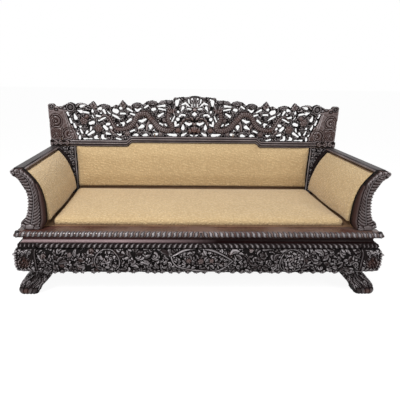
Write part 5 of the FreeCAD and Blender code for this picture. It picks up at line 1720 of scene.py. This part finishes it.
def puff_up(piece):
    """Blows a piece up as a weightless cloth bag."""
    cloth = piece.modifiers.new("Cloth", "CLOTH")
    cloth.settings.quality = 5
    cloth.settings.use_pressure = True
    cloth.settings.uniform_pressure_force = 4.0
    cloth.settings.effector_weights.gravity = 0.0
    cloth.point_cache.frame_start = 1
    cloth.point_cache.frame_end = CLOTH_FRAMES
    for number in range(1, CLOTH_FRAMES + 1):
        bpy.context.scene.frame_set(number)
    apply_modifiers(piece)
    bpy.context.scene.frame_set(1)


def apply_modifiers(piece):
    evaluated = piece.evaluated_get(bpy.context.evaluated_depsgraph_get())
    made = bpy.data.meshes.new_from_object(evaluated)
    piece.modifiers.clear()
    old = piece.data
    piece.data = made
    bpy.data.meshes.remove(old)


def puckers(along, pitch):
    """Uneven little folds where the cloth is drawn over an edge."""
    sway = 0.35 * np.sin(along * 2 * math.pi / 0.31) + 0.25 * np.sin(along * 2 * math.pi / 0.117 + 1)
    wave = np.sin(along * 2 * math.pi / pitch + 2.2 * sway)
    size = 0.6 + 0.4 * np.sin(along * 2 * math.pi / 0.083 + 0.5)
    return wave * size


# Heights where the seat's and the back's cushion start to swell, the places of the back's face
# that count as its front, and how high the folds stand
SEAT_SWELL_Z = 0.437
BACK_SWELL_Y = 0.318
BACK_FRONT_Y = 0.312
FOLD_HEIGHT = 0.0018


class DAYBED_OT_cushions(bpy.types.Operator):
    """Stuff and cover the seat, back and arm cushions"""
    bl_idname = "daybed.cushions"
    bl_label = "Cushions"

    def execute(self, context):
        puff = sizes().cushion_puff
        low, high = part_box("seat_cushion")

        def seat_hold(points):
            above = np.clip((points[:, 2] - SEAT_SWELL_Z) / 0.006, 0, 1)
            side = np.minimum(np.abs(points[:, 0] - low.x), np.abs(points[:, 0] - high.x))
            rear = np.abs(points[:, 1] - high.y)
            return puff * above * np.clip(np.minimum(side, rear) / 0.03, 0.12, 1)

        def seat_folds(points):
            roll = np.clip(1 - (points[:, 1] - low.y) / 0.060, 0, 1) * (points[:, 2] > 0.420)
            return FOLD_HEIGHT * puckers(points[:, 0], 0.026) * roll ** 1.5

        def back_hold(points):
            upright = stand_up(points)
            proud = np.clip((BACK_SWELL_Y - upright[:, 1]) / 0.006, 0, 1)
            return puff * proud * np.clip((upright[:, 2] - 0.47) / 0.08, 0.1, 1)

        def back_folds(points):
            upright = stand_up(points)
            roll = np.clip(1 - (upright[:, 2] - 0.460) / 0.045, 0, 1) * (upright[:, 1] < BACK_FRONT_Y)
            return FOLD_HEIGHT * puckers(points[:, 0] + 0.013, 0.024) * roll

        def arm_hold(points):
            return puff * np.clip((points[:, 2] - 0.47) / 0.10, 0.1, 0.8)

        cushion("seat_padding", "seat_cushion", "squab", seat_hold, seat_folds)
        cushion("back_padding", "back_cushion", "frame", back_hold, back_folds)
        for side in ("left", "right"):
            cushion("arm_padding_" + side, "arm_cushion_" + side, "frame", arm_hold)
        return {"FINISHED"}


# Stage: name, place, aim, size and power of each lamp
LAMPS = (("key_lamp", (-1.5, -1.9, 3.0), (0, 0, 0.5), 0.9, 88.0),
         ("fill_lamp", (2.2, -2.4, 2.4), (0, 0, 0.5), 1.4, 35.0),
         ("top_lamp", (0.2, 0.1, 3.2), (0, 0, 0.4), 1.4, 18.0))

# The camera that took the photo: its place, how it is turned in degrees, and its lens
CAMERA_PLACE = (-0.18857, -2.08720, 1.22078)
CAMERA_YAW, CAMERA_PITCH, CAMERA_ROLL = 1.3379, 19.8767, 0.7471
CAMERA_LENS = 30.458
CAMERA_SHIFT = 0.0631


class DAYBED_OT_stage(bpy.types.Operator):
    """Set the floor, the lamps and the camera"""
    bl_idname = "daybed.stage"
    bl_label = "Stage"

    def execute(self, context):
        scene = context.scene
        lay_floor(scene)
        light_sky(scene)
        hang_lamps(scene)
        set_camera(scene)
        scene.view_settings.view_transform = "Standard"
        return {"FINISHED"}


def lay_floor(scene):
    """A pale floor that keeps the object's shadow and shows white to the camera."""
    bm = bmesh.new()
    bmesh.ops.create_grid(bm, x_segments=8, y_segments=8, size=40.0)
    mesh = bpy.data.meshes.new("floor")
    bm.to_mesh(mesh)
    bm.free()
    floor = bpy.data.objects.new("floor", mesh)
    scene.collection.objects.link(floor)
    w, shader = new_material("floor")
    shader.inputs["Roughness"].default_value = 0.9
    shader.inputs["Specular IOR Level"].default_value = 0.0
    seen = w.camera_sees()
    w.join(w.mix(seen, full((0.80,) * 3), full((0.16,) * 3)), shader.inputs["Base Color"])
    glow = w.add("Emission", {"Strength": w.times(seen, 0.92)})
    both = w.add("AddShader")
    w.join(shader.outputs[0], both.inputs[0])
    w.join(glow.outputs[0], both.inputs[1])
    w.join(both.outputs[0], w.tree.nodes["Material Output"].inputs["Surface"])
    mesh.materials.append(material("floor"))


def light_sky(scene):
    """A soft sky that is white where the camera sees it."""
    world = bpy.data.worlds.new("daybed_sky")
    scene.world = world
    world.use_nodes = True
    w = Wiring(world.node_tree)
    sky = world.node_tree.nodes["Background"]
    w.join(w.plus(w.times(w.camera_sees(), 0.62), 0.38), sky.inputs["Strength"])
    sky.inputs["Color"].default_value = (1, 1, 1, 1)


def hang_lamps(scene):
    for name, place, aim, size, power in LAMPS:
        data = bpy.data.lights.new(name, "AREA")
        data.shape = "SQUARE"
        data.size = size
        data.energy = power
        lamp = bpy.data.objects.new(name, data)
        lamp.location = place
        lamp.rotation_euler = (Vector(aim) - Vector(place)).to_track_quat("-Z", "Y").to_euler()
        scene.collection.objects.link(lamp)


def set_camera(scene):
    data = bpy.data.cameras.new("photo_camera")
    data.sensor_width = 36.0
    data.lens = CAMERA_LENS
    data.shift_x = CAMERA_SHIFT
    camera = bpy.data.objects.new("photo_camera", data)
    yaw, pitch, roll = [math.radians(turn) for turn in (CAMERA_YAW, CAMERA_PITCH, CAMERA_ROLL)]
    forward = Vector((math.sin(yaw) * math.cos(pitch), math.cos(yaw) * math.cos(pitch),
                      -math.sin(pitch)))
    right = Vector((math.cos(yaw), -math.sin(yaw), 0))
    up = right.cross(forward)
    right, up = (right * math.cos(roll) + up * math.sin(roll),
                 up * math.cos(roll) - right * math.sin(roll))
    camera.matrix_world = Matrix((right, up, -forward)).transposed().to_4x4()
    camera.matrix_world.translation = CAMERA_PLACE
    scene.collection.objects.link(camera)
    scene.camera = camera


class DAYBED_PT_panel(bpy.types.Panel):
    """Steps that build the daybed"""
    bl_idname = "DAYBED_PT_panel"
    bl_label = "Luohan daybed"
    bl_space_type = "VIEW_3D"
    bl_region_type = "UI"
    bl_category = "Daybed"

    def draw(self, context):
        for values in (context.scene.daybed_sizes, context.scene.daybed_colours):
            column = self.layout.column()
            for key in values.__annotations__:
                column.prop(values, key)
        for step in steps:
            self.layout.operator(step.bl_idname)


steps = (DAYBED_OT_materials, DAYBED_OT_crest, DAYBED_OT_aprons, DAYBED_OT_legs, DAYBED_OT_arms,
         DAYBED_OT_edges, DAYBED_OT_cushions, DAYBED_OT_stage)
classes = (DaybedSizes, DaybedColours) + steps + (DAYBED_PT_panel,)


def register():
    for item in classes:
        bpy.utils.register_class(item)
    bpy.types.Scene.daybed_sizes = bpy.props.PointerProperty(type=DaybedSizes)
    bpy.types.Scene.daybed_colours = bpy.props.PointerProperty(type=DaybedColours)


def unregister():
    del bpy.types.Scene.daybed_colours
    del bpy.types.Scene.daybed_sizes
    for item in reversed(classes):
        bpy.utils.unregister_class(item)


def main():
    register()
    bpy.ops.daybed.materials()
    bpy.ops.daybed.crest()
    bpy.ops.daybed.aprons()
    bpy.ops.daybed.legs()
    bpy.ops.daybed.arms()
    bpy.ops.daybed.edges()
    bpy.ops.daybed.cushions()
    bpy.ops.daybed.stage()


if __name__ == "__main__":
    main()
